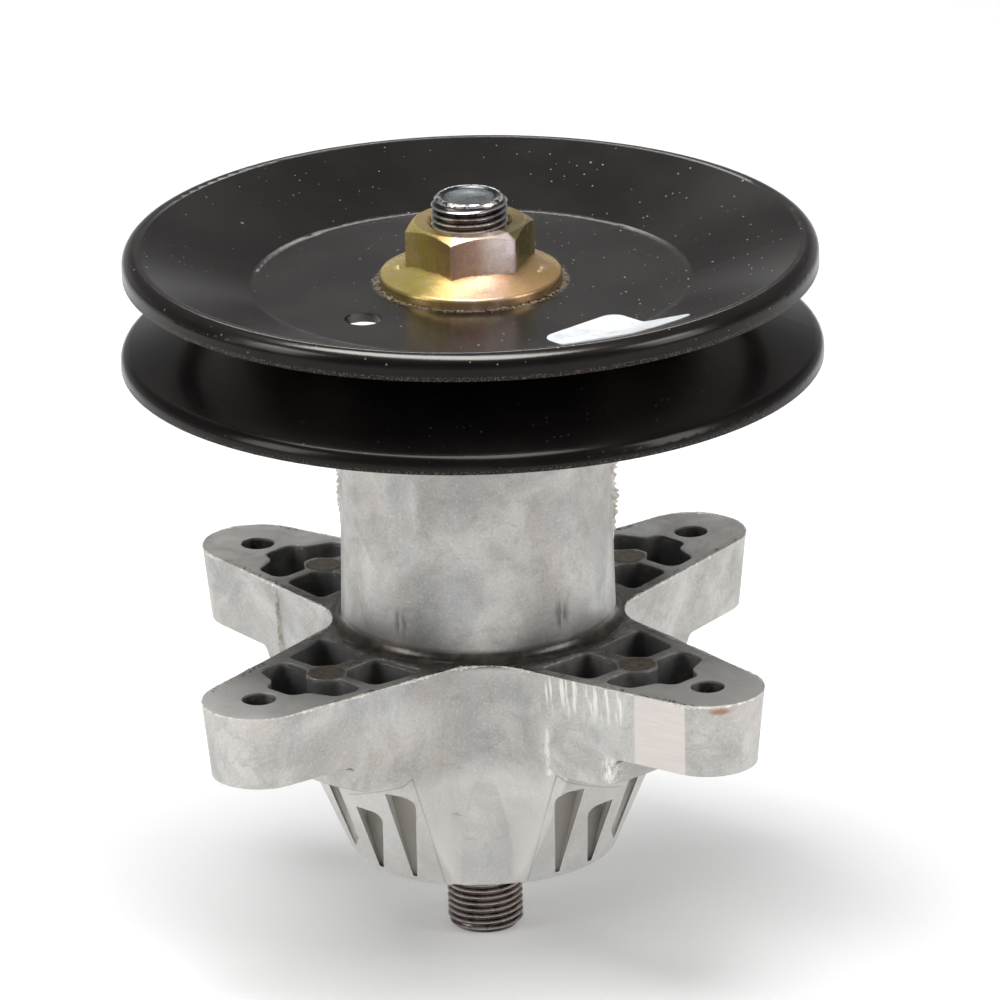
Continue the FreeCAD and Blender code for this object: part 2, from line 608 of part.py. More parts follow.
def make_pulley():
    """The two pressed halves of the pulley, laid flat to flat, each with a turned lip."""
    bore_r = "bearing_bore / 2 + fit_gap"
    top, under = "pulley_seat", "pulley_seat - sheet"
    upper = new_body("pulley_upper_half")
    rim_r = "upper_rim_d / 2"
    rise = f"({rim_r} - web_r) * tan(upper_slope)"
    offset = "sheet * tan(upper_slope / 2)"
    lip_in = f"{rim_r} - sheet"
    in_z = f"pulley_seat + ({lip_in} - web_r) * tan(upper_slope) - sheet / cos(upper_slope)"
    lip_z = f"pulley_seat + {rise} - upper_lip - sheet"
    turn(upper, "upper_form", [
        (bore_r, under), (f"web_r + {offset}", under, "bend_r + sheet"), (lip_in, in_z, "lip_bend_r"),
        (lip_in, lip_z), (rim_r, lip_z), (rim_r, f"pulley_seat + {rise}", "lip_bend_r + sheet"),
        ("web_r", top, "bend_r"), (bore_r, top)])
    hole = new_sketch(upper, "web_hole_sketch", "XY_Plane", under)
    hole_x, hole_y = "web_hole_reach * cos(web_hole_turn)", "web_hole_reach * sin(web_hole_turn)"
    draw_circle(hole, hole_x, hole_y, "web_hole_d")
    doc.recompute()
    extrude(upper, "web_hole", hole, "sheet", cut=True)
    lower = new_body("pulley_lower_half")
    top, under = under, "pulley_seat - 2 * sheet"
    rim_r = "lower_rim_d / 2"
    fall = f"({rim_r} - lower_web_r) * tan(lower_slope)"
    offset = "sheet * tan(lower_slope / 2)"
    lip_in = f"{rim_r} - sheet"
    in_z = f"{top} - ({lip_in} - lower_web_r) * tan(lower_slope) - sheet / cos(lower_slope)"
    lip_z = f"{top} - {fall} - lower_lip"
    turn(lower, "lower_form", [
        ("lower_open_r", under), (f"lower_web_r - {offset}", under, "bend_r"), (lip_in, in_z, "lip_bend_r"),
        (lip_in, lip_z), (rim_r, lip_z), (rim_r, f"{top} - {fall}", "lip_bend_r + sheet"),
        ("lower_web_r", top, "bend_r + sheet"), ("lower_open_r", top)])
    return upper, lower


def make_nut():
    """The flange nut on top: coned flange, chamfered hexagon and countersunk bore."""
    body = new_body("flange_nut")
    bore_r = "thread_d / 2 + fit_gap"
    top = "pulley_seat + nut_top"
    cone_top = "pulley_seat + nut_cone_top"
    turn(body, "nut_flange", [
        (bore_r, "pulley_seat"), ("nut_flange_d / 2", "pulley_seat"),
        ("nut_flange_d / 2", "pulley_seat + nut_rim", "nut_rim_round"), ("nut_cone_d / 2", cone_top),
        (bore_r, cone_top)])
    hexagon = new_sketch(body, "nut_hexagon", "XY_Plane", "pulley_seat + nut_rim", "nut_turn")
    corner_r = f"nut_flats / 2 / cos({HALF_HEX})"
    angles = [i * FULL_TURN / HEX for i in range(HEX)]
    draw_outline(hexagon, [(f"{corner_r} * cos({angle})", f"{corner_r} * sin({angle})") for angle in angles])
    draw_circle(hexagon, "0", "0", f"2 * ({bore_r})")
    doc.recompute()
    extrude(body, "nut_body", hexagon, "nut_top - nut_rim")
    past = "nut_flange_d / 2"
    turn(body, "nut_corners", [
        ("nut_chamfer_d / 2", top), (past, f"{top} - ({past} - nut_chamfer_d / 2) * tan(nut_chamfer)"),
        (past, top)], cut=True)
    mouth = f"{top} - nut_mouth"
    turn(body, "nut_countersink", [
        ("0", top), ("0", mouth), (bore_r, mouth), (f"{bore_r} + nut_mouth", top)], cut=True)
    return body


def make_all():
    """Every sub-part, in the order it goes together."""
    made = [make_housing(), make_shaft()]
    lower_face = "-housing_depth + bearing_recess"
    upper_face = "neck_height - bearing_recess - bearing_width"
    for name, face in (("lower_bearing", lower_face), ("upper_bearing", upper_face)):
        made += make_bearing(name, face)
    journal = "(bearing_bore + 2 * fit_gap)"
    made.append(tube("bearing_spacer", journal, "spacer_d", f"{lower_face} + bearing_width", upper_face))
    made.append(tube("pulley_spacer", journal, "pulley_spacer_d", f"{upper_face} + bearing_width",
                     "pulley_seat - sheet"))
    made += make_pulley()
    made.append(make_nut())
    return made


def write_all(made):
    """Check every object, then write each sub-part to its own file."""
    doc.recompute()
    for obj in doc.Objects:
        faults = {"Invalid", "Error"} & set(obj.State)
        if faults:
            raise RuntimeError(f"{obj.Name} is {sorted(faults)}")
    for obj in made:
        if obj.Shape.isNull() or not obj.Shape.isValid():
            raise RuntimeError(f"{obj.Label} has no valid shape")
    os.makedirs("parts", exist_ok=True)
    for obj in made:
        obj.Shape.exportStep(f"parts/{obj.Label}.step")
        print(f"{obj.Label}: {len(obj.Shape.Solids)} solids, {obj.Shape.Volume:.1f} mm3")


write_all(make_all())
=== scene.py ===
import json
import math
import random

import bmesh
import bpy
from mathutils import Matrix, Vector
from mathutils.bvhtree import BVHTree


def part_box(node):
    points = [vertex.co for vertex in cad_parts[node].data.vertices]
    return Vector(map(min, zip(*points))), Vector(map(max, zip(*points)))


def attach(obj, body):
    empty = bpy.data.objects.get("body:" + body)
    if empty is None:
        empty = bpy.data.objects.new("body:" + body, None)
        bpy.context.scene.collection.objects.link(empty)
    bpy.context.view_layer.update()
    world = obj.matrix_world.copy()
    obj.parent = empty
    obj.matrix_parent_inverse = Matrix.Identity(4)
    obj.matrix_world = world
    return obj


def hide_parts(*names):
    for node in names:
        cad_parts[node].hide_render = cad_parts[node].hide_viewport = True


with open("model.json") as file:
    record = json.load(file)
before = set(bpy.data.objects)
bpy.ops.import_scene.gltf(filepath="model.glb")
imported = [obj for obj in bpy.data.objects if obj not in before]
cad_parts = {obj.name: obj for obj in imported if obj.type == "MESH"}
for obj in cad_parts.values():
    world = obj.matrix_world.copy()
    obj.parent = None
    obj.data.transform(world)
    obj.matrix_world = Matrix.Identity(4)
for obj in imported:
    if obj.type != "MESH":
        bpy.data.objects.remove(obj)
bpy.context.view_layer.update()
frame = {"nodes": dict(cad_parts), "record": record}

MM = 0.001

# Sizes of the part, in millimetres, read from the frame where it holds them
FLOOR_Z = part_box("shaft")[0].z / MM
SHAFT_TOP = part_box("shaft")[1].z / MM
WEB_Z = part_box("flange_nut")[0].z / MM
FLANGE_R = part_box("flange_nut")[1].x / MM
UPPER_RIM_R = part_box("pulley_upper_half")[1].x / MM
LOWER_RIM_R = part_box("pulley_lower_half")[1].x / MM
UPPER_LIP_Z = 77.1
LOWER_LIP_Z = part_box("pulley_lower_half")[0].z / MM
THREAD_R = 7.94
THREAD_PITCH = 1.411
THREAD_DEPTH_SHARE = 0.6134
THREAD_DEPTH = THREAD_DEPTH_SHARE * THREAD_PITCH
LOWER_THREAD_TOP = -55.0
UPPER_THREAD_FOOT = 72.8
END_BEVEL = 1.3
ARM_WALL = 22.92
ARM_TAPER = 0.168
POCKET_ALONG = (30.5, 61.5)
POCKET_FLOOR_Z = -16.6
BOLT_ALONG = 65.25
BOLT_R = 3.57
CONE_FOOT_R = 28.2
CONE_FOOT_Z = -50.0
CONE_TOP_R = 40.9
CONE_RISE = 27.0
CONE_SLOPE = (CONE_TOP_R - CONE_FOOT_R) / CONE_RISE
ARM_ANGLES = (45, 135, 225, 315)
ROOT_TWO = math.sqrt(2)


def tint(red, green, blue):
    """A colour as a screen shows it, 0 to 255, as the linear values that a shader takes."""
    levels = []
    for level in (red, green, blue):
        share = level / 255
        levels.append(share / 12.92 if share <= 0.04045 else ((share + 0.055) / 1.055) ** 2.4)
    return (*levels, 1.0)


class Shader:
    """A material's node graph, with short calls that add nodes and join them."""

    BEVEL_RAYS = 2
    CREVICE_RAYS = 1
    SPECK_EDGE = 0.03
    BLOT_CORE = 0.3
    LINE_CORE = 0.4
    # How well the rounded and the flat normal agree where an edge begins and where it is full
    EDGE_AGREEMENT = (0.985, 0.9)

    def __init__(self, name):
        self.material = bpy.data.materials.new(name)
        self.material.use_nodes = True
        self.tree = self.material.node_tree
        self.surface = self.tree.nodes["Principled BSDF"]
        coordinates = self.add("TexCoord").outputs["Object"]
        # Texture space is in millimetres and turns with the body that carries the piece
        self.place = self.vector("SCALE", coordinates, Scale=1 / MM)
        self.x, self.y, self.z = self.add("SeparateXYZ", {"Vector": self.place}).outputs
        self.radius = self.vector("LENGTH", self.vector("MULTIPLY", self.place, (1, 1, 0)), output="Value")
        self.flat_normal = self.add("NewGeometry").outputs["True Normal"]
        self.normal_z = self.add("SeparateXYZ", {"Vector": self.flat_normal}).outputs["Z"]

    def feed(self, socket, value):
        """Links a node's output to a socket, or sets the socket to a plain value."""
        if isinstance(value, bpy.types.NodeSocket):
            self.tree.links.new(value, socket)
        else:
            socket.default_value = value

    def add(self, kind, inputs=None, **settings):
        """Adds a node of a kind, with its settings and inputs."""
        node = self.tree.nodes.new("ShaderNode" + kind)
        for key, value in settings.items():
            setattr(node, key, value)
        for key, value in (inputs or {}).items():
            self.feed(node.inputs[key], value)
        return node

    def vector(self, operation, *values, output="Vector", **named):
        """One step of vector arithmetic."""
        inputs = dict(enumerate(values))
        inputs.update(named)
        return self.add("VectorMath", inputs, operation=operation).outputs[output]

    def calc(self, operation, *values):
        """One step of arithmetic."""
        return self.add("Math", dict(enumerate(values)), operation=operation).outputs[0]

    def times(self, first, *others):
        """The product of all the values, so a mask that holds where each one does."""
        for other in others:
            first = self.calc("MULTIPLY", first, other)
        return first

    def either(self, first, *others):
        """The largest of the values, so a mask that holds where any one does."""
        for other in others:
            first = self.calc("MAXIMUM", first, other)
        return first

    def flip(self, value):
        """The mask of where a mask doesn't hold."""
        return self.calc("SUBTRACT", 1.0, value)

    def ramp(self, value, low, high, start=0.0, end=1.0):
        """Goes smoothly from start to end as the value goes from low to high."""
        inputs = {"Value": value, "From Min": low, "From Max": high, "To Min": start, "To Max": end}
        return self.add("MapRange", inputs, interpolation_type="SMOOTHSTEP").outputs["Result"]

    def between(self, value, low, high, soft):
        """One where the value is between low and high, with soft edges, and nothing outside."""
        rise = self.ramp(value, low - soft, low + soft)
        fall = self.ramp(value, high + soft, high - soft)
        return self.times(rise, fall)

    def noise(self, size, detail=2.0, rough=0.5, stretch=None, offset=0.0, swirl=0.0):
        """Noise from 0 to 1 whose lumps have a size in millimetres."""
        place = self.place
        if stretch:
            place = self.vector("MULTIPLY", place, stretch)
        if offset:
            place = self.vector("ADD", place, (offset, offset, offset))
        inputs = {"Vector": place, "Scale": 1 / size, "Detail": detail}
        inputs.update({"Roughness": rough, "Distortion": swirl})
        return self.add("TexNoise", inputs).outputs[0]

    def specks(self, spacing, largest, share, offset=0.0):
        """Round specks, a share of one per cell of the spacing, each of a size of its own."""
        place = self.vector("ADD", self.place, (offset, offset, offset))
        cells = self.add("TexVoronoi", {"Vector": place, "Scale": 1 / spacing, "Randomness": 1.0})
        chance = self.add("SeparateColor", {"Color": cells.outputs["Color"]}).outputs[0]
        reach = self.ramp(chance, 1 - share, 1.0, 0.0, largest / spacing)
        return self.ramp(self.calc("SUBTRACT", reach, cells.outputs["Distance"]), 0.0, self.SPECK_EDGE)

    def blend(self, share, first, second):
        """A colour that goes from the first to the second with the share."""
        node = self.add("Mix", {0: share, 6: first, 7: second}, data_type="RGBA")
        return node.outputs[2]

    def mix(self, share, first, second):
        """A number that goes from the first to the second with the share."""
        return self.add("Mix", {0: share, 2: first, 3: second}, data_type="FLOAT").outputs[0]

    def crevice(self, reach):
        """One deep inside corners, nothing in the open, judged over a reach in millimetres."""
        inputs = {"Distance": reach * MM}
        open_share = self.add("AmbientOcclusion", inputs, samples=self.CREVICE_RAYS).outputs["AO"]
        return self.flip(open_share)

    def relief(self, height, depth, under=None):
        """A surface normal with bumps of a depth in millimetres."""
        inputs = {"Height": height, "Distance": depth * MM}
        if under is not None:
            inputs["Normal"] = under
        return self.add("Bump", inputs).outputs["Normal"]

    def soft_edges(self, radius):
        """A surface normal that is rounded at the edges, and one on those edges, nothing elsewhere."""
        normal = self.add("Bevel", {"Radius": radius}, samples=self.BEVEL_RAYS).outputs["Normal"]
        agree = self.vector("DOT_PRODUCT", normal, self.flat_normal, output="Value")
        return normal, self.ramp(agree, *self.EDGE_AGREEMENT)

    def blot(self, centre, size, stretch=(1, 1, 1)):
        """A soft round mark about a point; a stretch under 1 makes it longer that way."""
        away = self.vector("MULTIPLY", self.vector("SUBTRACT", self.place, centre), stretch)
        return self.ramp(self.vector("LENGTH", away, output="Value"), size, self.BLOT_CORE * size)

    def line(self, across, up, start, end, width):
        """A thin line between two points of a plane, given the two coordinates of that plane."""
        place = self.add("CombineXYZ", {"X": across, "Y": up}).outputs[0]
        span = Vector((end[0] - start[0], end[1] - start[1], 0))
        gone = self.vector("SUBTRACT", place, (start[0], start[1], 0))
        share = self.vector("DOT_PRODUCT", gone, tuple(span / span.length_squared), output="Value")
        share = self.add("Clamp", {"Value": share}).outputs[0]
        nearest = self.vector("SCALE", tuple(span), Scale=share)
        away = self.vector("DISTANCE", gone, nearest, output="Value")
        return self.ramp(away, width, self.LINE_CORE * width)

    def wheel(self, stops):
        """A colour that changes round the shaft's axis, from stops of degrees and colour."""
        turn = self.times(self.calc("ARCTAN2", self.y, self.x), 1 / math.tau)
        ramp = self.add("ValToRGB", {"Fac": self.calc("FRACT", self.calc("ADD", turn, 1.0))})
        while len(ramp.color_ramp.elements) < len(stops):
            ramp.color_ramp.elements.new(1.0)
        for element, (degrees, colour) in zip(ramp.color_ramp.elements, stops):
            element.position = degrees / 360
            element.color = colour
        return ramp.outputs["Color"]

    def finish(self, **inputs):
        """Sets the surface's inputs, named with _ for spaces, and gives the material."""
        for key, value in inputs.items():
            self.feed(self.surface.inputs[key.replace("_", " ")], value)
        return self.material


# Faint tints of the casting: size of the patches, shift of their noise, share and colour
CAST_PATCHES = (
    (24.0, 90.0, 0.3, tint(198, 180, 172)),
    (19.0, 150.0, 0.36, tint(154, 160, 168)),
    (7.0, 40.0, 0.34, tint(142, 140, 136)),
)
# Places of marks on the casting, in millimetres: a range along an axis, or a point
FRONT_Y = (-24.0, -26.0)
RUNS_X = (11.5, 29.0)
RUNS_FOOT_Z = (-11.0, -3.0)
GROUND_X = (30.9, 41.0)
GROUND_Y = (-44.0, -46.0)
GROUND_Z = (-16.2, 0.2)
RUST_SPOT = (48.2, -57.6, -1.2)
SMUDGES = ((-16.4, -23.5, 7.5), (16.8, -23.2, 8.0))
WINDOW_Z = (-49.5, -25.0)
WINDOW_BACK_R = (26.0, 26.6)
# Rough white spots: centre, size, stretch and strength
ROUGH_SPOTS = (
    ((26.2, -43.6, -19.6), 3.2, (1.0, 0.6, 0.62), 1.0),
    ((13.1, -34.6, -16.5), 6.5, (8.0, 1.0, 0.9), 0.7),
    ((13.5, -34.4, -22.6), 1.3, (1.0, 1.0, 1.0), 1.0),
)
# Lines that the parts of the mould left on the hub: sideways from the axis, and height
SEAM_TOP = (14.9, -22.9)
SEAM_BEND = (12.0, -34.6)
SEAM_FOOT = (8.6, -49.4)
SEAM_SIDE = (28.0, -29.8)
SEAMS = ((SEAM_TOP, SEAM_BEND), (SEAM_BEND, SEAM_FOOT), (SEAM_TOP, SEAM_SIDE))
SEAM_WIDTH = 0.22
# Rounding that the material gives to edges, in millimetres
CAST_EDGE = 0.25
POCKET_RIM = 1.8
NUT_EDGE = 0.3


class CastPlaces:
    """Masks of where things are on the casting: one there, and nothing elsewhere."""

    def __init__(self, shader):
        self.side_x = shader.calc("ABSOLUTE", shader.x)
        self.side_y = shader.calc("ABSOLUTE", shader.y)
        self.along = shader.times(shader.calc("ADD", self.side_x, self.side_y), 1 / ROOT_TWO)
        apart = shader.calc("ABSOLUTE", shader.calc("SUBTRACT", self.side_x, self.side_y))
        self.across = shader.times(apart, 1 / ROOT_TWO)
        reach = shader.calc("SUBTRACT", ARM_WALL, shader.times(self.along, ARM_TAPER))
        self.from_wall = shader.calc("SUBTRACT", reach, self.across)
        self.upright = shader.ramp(shader.normal_z, 0.6, 0.3)
        facing_up = shader.ramp(shader.normal_z, 0.75, 0.95)
        self.flange_top = shader.times(facing_up, shader.between(shader.z, -0.6, 0.5, 0.3))
        self.cored = shader.times(
            shader.between(self.along, *POCKET_ALONG, 0.3),
            shader.ramp(self.from_wall, 1.9, 2.3),
        )
        self.pocket = shader.times(self.cored, shader.between(shader.z, POCKET_FLOOR_Z - 0.6, -0.3, 0.25))
        self.window = self.find_windows(shader)
        self.bolt_hole = shader.times(
            shader.between(self.along, BOLT_ALONG - BOLT_R, BOLT_ALONG + BOLT_R, 0.4),
            shader.ramp(self.across, BOLT_R + 0.4, BOLT_R),
            shader.ramp(shader.z, -0.2, -0.8),
            self.upright,
        )
        self.ground = shader.times(
            shader.between(shader.x, *GROUND_X, 0.15),
            shader.ramp(shader.y, *GROUND_Y),
            shader.between(shader.z, *GROUND_Z, 0.2),
            self.upright,
        )

    def find_windows(self, shader):
        """The windows' walls, which lie inside the hub's cone."""
        above = shader.calc("SUBTRACT", shader.z, CONE_FOOT_Z)
        cone = shader.calc("ADD", shader.times(above, CONE_SLOPE), CONE_FOOT_R)
        return shader.times(
            shader.ramp(shader.calc("SUBTRACT", cone, shader.radius), 0.2, 1.6),
            shader.between(shader.z, *WINDOW_Z, 0.6),
            shader.ramp(shader.radius, *WINDOW_BACK_R),
            shader.ramp(self.from_wall, 3.0, 5.0),
        )


def cast_skin(shader):
    """Colour and grain of the bare casting: even grey with a fine speckle, faint tints and dark pits."""
    clouds = shader.ramp(shader.noise(17.0, 4.0, 0.6, swirl=0.8), 0.34, 0.66)
    grain = shader.noise(0.5, 2.0, 0.6)
    colour = shader.blend(clouds, tint(174, 172, 168), tint(200, 199, 195))
    for size, offset, share, hue in CAST_PATCHES:
        patch = shader.noise(size, 3.0, 0.62, offset=offset, swirl=1.2)
        colour = shader.blend(shader.ramp(patch, 0.48, 0.72, 0.0, share), colour, hue)
    colour = shader.blend(shader.ramp(grain, 0.52, 0.74, 0.0, 0.3), colour, tint(138, 135, 130))
    colour = shader.blend(shader.ramp(grain, 0.46, 0.26, 0.0, 0.3), colour, tint(232, 231, 227))
    pits = shader.specks(7.5, 0.4, 0.15)
    return shader.blend(shader.times(pits, 0.5), colour, tint(92, 88, 84)), grain


def scraped_arm(shader, places, colour):
    """White runs, rough spots, a ground patch and a rusty chip on the front right arm."""
    runs = shader.ramp(shader.noise(1.3, 2.0, 0.5, stretch=(1.0, 1.0, 0.07)), 0.5, 0.62)
    run_zone = shader.times(
        shader.ramp(shader.y, *FRONT_Y),
        shader.between(shader.x, *RUNS_X, 0.8),
        shader.ramp(shader.z, *RUNS_FOOT_Z),
        shader.ramp(shader.z, 0.6, 0.2),
    )
    spots = []
    for centre, size, stretch, strength in ROUGH_SPOTS:
        spots.append(shader.times(shader.blot(centre, size, stretch), strength))
    flecks = shader.ramp(shader.noise(1.0, 2.0, 0.7, stretch=(1.0, 1.0, 0.3)), 0.35, 0.6)
    scraped = shader.times(shader.either(*spots), flecks)
    white = shader.either(shader.times(runs, run_zone, 0.85), scraped)
    colour = shader.blend(white, colour, tint(238, 236, 230))
    brushed = shader.noise(0.5, 2.0, stretch=(0.05, 0.05, 1.0))
    brushed = shader.blend(brushed, tint(226, 218, 213), tint(206, 199, 196))
    colour = shader.blend(shader.times(places.ground, 0.9), colour, brushed)
    rust = shader.blot(RUST_SPOT, 1.7, (0.55, 0.55, 1.7))
    return shader.blend(shader.times(rust, 0.8), colour, tint(158, 108, 74))


def mould_marks(shader, places, colour):
    """Lines of the mould on the hub's front and rear, and smudges on the neck."""
    seams = [shader.line(places.side_x, shader.z, start, end, SEAM_WIDTH) for start, end in SEAMS]
    outer = shader.ramp(places.side_y, 22.0, 24.0)
    colour = shader.blend(shader.times(shader.either(*seams), outer, 0.7), colour, tint(96, 92, 88))
    smudges = [shader.times(shader.blot(spot, 3.4, (1.5, 1.5, 0.7)), 0.75) for spot in SMUDGES]
    streaky = shader.ramp(shader.noise(1.6, 2.0, 0.6, stretch=(1.0, 1.0, 0.25)), 0.36, 0.6)
    return shader.blend(shader.times(shader.either(*smudges), streaky), colour, tint(104, 104, 104))


def painted_shade_and_light(shader, places, patchy, colour):
    """Painted shade low on the neck, darker towards its foot, and painted light that makes the flange's
    front, the hub's downward faces and its windows paler.
    """
    on_neck = shader.times(shader.between(shader.radius, 27.0, 31.0, 0.5), shader.ramp(shader.z, -0.5, 0.5))
    # Painted shade: the neck darkens towards its foot
    painted_neck_shade = shader.times(shader.ramp(shader.z, 13.0, 1.0), on_neck, patchy, 0.42)
    colour = shader.blend(painted_neck_shade, colour, tint(112, 109, 105))
    # Painted light: the front of the flange's top and the hub's downward faces are made paler
    lit_front_top = shader.times(places.flange_top, shader.ramp(shader.y, -25.0, -45.0))
    hub = shader.times(shader.ramp(shader.z, -20.0, -27.0), shader.ramp(shader.normal_z, 0.1, -0.08))
    for pale in (lit_front_top, hub):
        colour = shader.blend(shader.times(pale, 0.4), colour, tint(238, 237, 233))
    # Painted light: the windows' walls are made paler to lift their shade
    return shader.blend(places.window, colour, tint(232, 229, 224))


def oily_grime_and_shade(shader, places, stain, patchy, colour):
    """An oily film, darkest round the neck's foot, with wet pockets, dark bolt holes and painted shade in
    the corners.
    """
    on_top = shader.times(places.flange_top, shader.ramp(shader.radius, 57.0, 38.0), patchy)
    neck_foot = shader.times(
        shader.between(shader.z, -0.5, 2.4, 0.7),
        shader.ramp(shader.radius, 34.0, 31.0),
    )
    film = shader.either(on_top, neck_foot)
    brown = shader.ramp(stain, 0.4, 0.65)
    colour = shader.blend(film, colour, shader.blend(brown, tint(58, 56, 55), tint(92, 84, 74)))
    wet = shader.blend(brown, tint(116, 116, 118), tint(138, 134, 128))
    colour = shader.blend(places.pocket, colour, wet)
    colour = shader.blend(shader.times(places.bolt_hole, patchy), colour, tint(62, 60, 58))
    # Painted shade: corners darkened by how enclosed they are, except in the windows and pockets
    deep = shader.ramp(shader.crevice(7.0), 0.45, 0.95)
    hollow = shader.either(places.window, places.pocket)
    colour = shader.blend(shader.times(deep, shader.flip(hollow), 0.5), colour, tint(70, 67, 63))
    return colour, shader.either(film, places.pocket)


def edge_crumbs(shader, places, colour):
    """Dark crumbs just inside the chipped edge of the flange's top."""
    edge_zone = shader.times(
        places.flange_top,
        shader.between(places.from_wall, 0.3, 1.5, 0.3),
        shader.ramp(shader.radius, 32.0, 34.0),
    )
    crumbs = shader.ramp(shader.noise(0.9, 3.0, 0.7, offset=310.0), 0.52, 0.6)
    where = shader.ramp(shader.noise(13.0, 2.0, offset=330.0), 0.42, 0.55)
    return shader.blend(shader.times(edge_zone, crumbs, where), colour, tint(46, 42, 38))


def cast_aluminium():
    """Die-cast skin with marks of the mould, oily dirt round the neck's foot and in the pockets, and
    painted shade and light.
    """
    shader = Shader("cast_aluminium")
    places = CastPlaces(shader)
    stain = shader.noise(5.0, 3.0, 0.65, offset=220.0)
    patchy = shader.ramp(stain, 0.3, 0.62, 0.6, 1.0)
    colour, grain = cast_skin(shader)
    colour = scraped_arm(shader, places, colour)
    colour = mould_marks(shader, places, colour)
    colour = painted_shade_and_light(shader, places, patchy, colour)
    colour, oily = oily_grime_and_shade(shader, places, stain, patchy, colour)
    colour = edge_crumbs(shader, places, colour)

    # Round rims on the cored pockets, sharp edges elsewhere
    near_rim = shader.times(places.cored, shader.ramp(shader.z, -8.0, -5.0))
    soft, edges = shader.soft_edges(shader.mix(near_rim, CAST_EDGE * MM, POCKET_RIM * MM))
    # Paler edges: partly rubbed bare, partly a painted highlight
    bare = shader.ramp(shader.noise(1.5, 3.0, 0.6), 0.35, 0.6)
    worn = shader.times(edges, shader.flip(places.pocket), bare)
    colour = shader.blend(shader.times(worn, 0.45), colour, tint(226, 224, 219))
    rough = shader.mix(oily, shader.ramp(stain, 0.3, 0.7, 0.44, 0.54), 0.25)
    rough = shader.mix(places.ground, rough, 0.5)
    metal = shader.mix(oily, shader.ramp(places.window, 0.0, 1.0, 0.7, 0.2), 0.35)
    lumps = shader.times(shader.noise(2.6, 2.0, 0.6, offset=15.0), 0.8)
    skin = shader.calc("ADD", shader.times(grain, 0.6), lumps)
    normal = shader.relief(skin, 0.05, soft)
    return shader.finish(Base_Color=colour, Roughness=rough, Metallic=metal, Normal=normal)


def plain_cast(name, dark, light, rough):
    """A spot of the casting with a colour of its own, such as a worn pad or a bright flash."""
    shader = Shader(name)
    mottle = shader.noise(1.4, 4.0, 0.65)
    colour = shader.blend(shader.ramp(mottle, 0.35, 0.65), dark, light)
    normal = shader.relief(shader.noise(0.5, 3.0, 0.6), 0.06)
    roughness = shader.ramp(mottle, 0.3, 0.7, rough, rough + 0.12)
    return shader.finish(Base_Color=colour, Roughness=roughness, Metallic=0.5, Normal=normal)


WARM_GLOSS = (1.0, 0.92, 0.86, 1.0)
# Layers of dust on the paint: spacing and largest size in millimetres, share and shift
DUST = ((1.4, 0.2, 0.45, 0.0), (2.6, 0.3, 0.4, 33.0), (6.0, 0.5, 0.4, 71.0))


def black_paint():
    """Glossy black coat on pressed steel, with dust, worn lips and grease round the nut."""
    shader = Shader("black_paint")
    broad = shader.noise(14.0, 4.0, 0.6)
    colour = shader.blend(shader.ramp(broad, 0.35, 0.7), tint(15, 13, 13), tint(20, 18, 17))
    dusty_side = shader.ramp(shader.x, -60.0, 60.0, 0.45, 1.0)
    dusty_top = shader.ramp(shader.z, WEB_Z - 6.0, WEB_Z - 2.0, 0.2, 1.0)
    dust = shader.either(*(shader.specks(*layer) for layer in DUST))
    round_nut = shader.times(
        shader.ramp(shader.radius, FLANGE_R + 1.9, FLANGE_R + 0.4),
        shader.ramp(shader.z, WEB_Z - 0.3, WEB_Z - 0.1),
    )
    crust = shader.times(round_nut, shader.ramp(shader.noise(0.9, 4.0, 0.7, offset=12.0), 0.42, 0.56))
    upper_lip = shader.times(
        shader.ramp(shader.radius, UPPER_RIM_R - 2.2, UPPER_RIM_R - 1.8),
        shader.between(shader.z, UPPER_LIP_Z, UPPER_LIP_Z + 0.9, 0.2),
    )
    lower_lip = shader.times(
        shader.ramp(shader.radius, LOWER_RIM_R - 2.2, LOWER_RIM_R - 1.8),
        shader.ramp(shader.z, LOWER_LIP_Z + 1.0, LOWER_LIP_Z + 0.4),
    )
    chipped = shader.ramp(shader.noise(0.4, 3.0, 0.7, offset=55.0), 0.5, 0.62)
    chips = shader.times(shader.either(upper_lip, lower_lip), chipped)
    colour = shader.blend(shader.times(dust, dusty_side, dusty_top), colour, tint(168, 158, 144))
    colour = shader.blend(shader.times(crust, 0.8), colour, tint(112, 98, 80))
    colour = shader.blend(shader.times(chips, 0.5), colour, tint(118, 108, 98))
    rough = shader.mix(shader.either(crust, chips), shader.ramp(broad, 0.3, 0.7, 0.2, 0.225), 0.7)
    fine = shader.times(shader.noise(0.7, 3.0, 0.6), 0.3)
    peel = shader.calc("ADD", fine, shader.noise(2.3, 2.0, offset=8.0))
    dull_lip = shader.times(
        shader.ramp(shader.radius, UPPER_RIM_R - 0.9, UPPER_RIM_R - 0.2),
        shader.ramp(shader.z, UPPER_LIP_Z + 5.2, UPPER_LIP_Z + 4.0),
    )
    return shader.finish(
        Base_Color=colour,
        Roughness=rough,
        Specular_IOR_Level=shader.mix(dull_lip, 0.9, 0.2),
        Specular_Tint=WARM_GLOSS,
        Normal=shader.relief(peel, 0.012),
    )


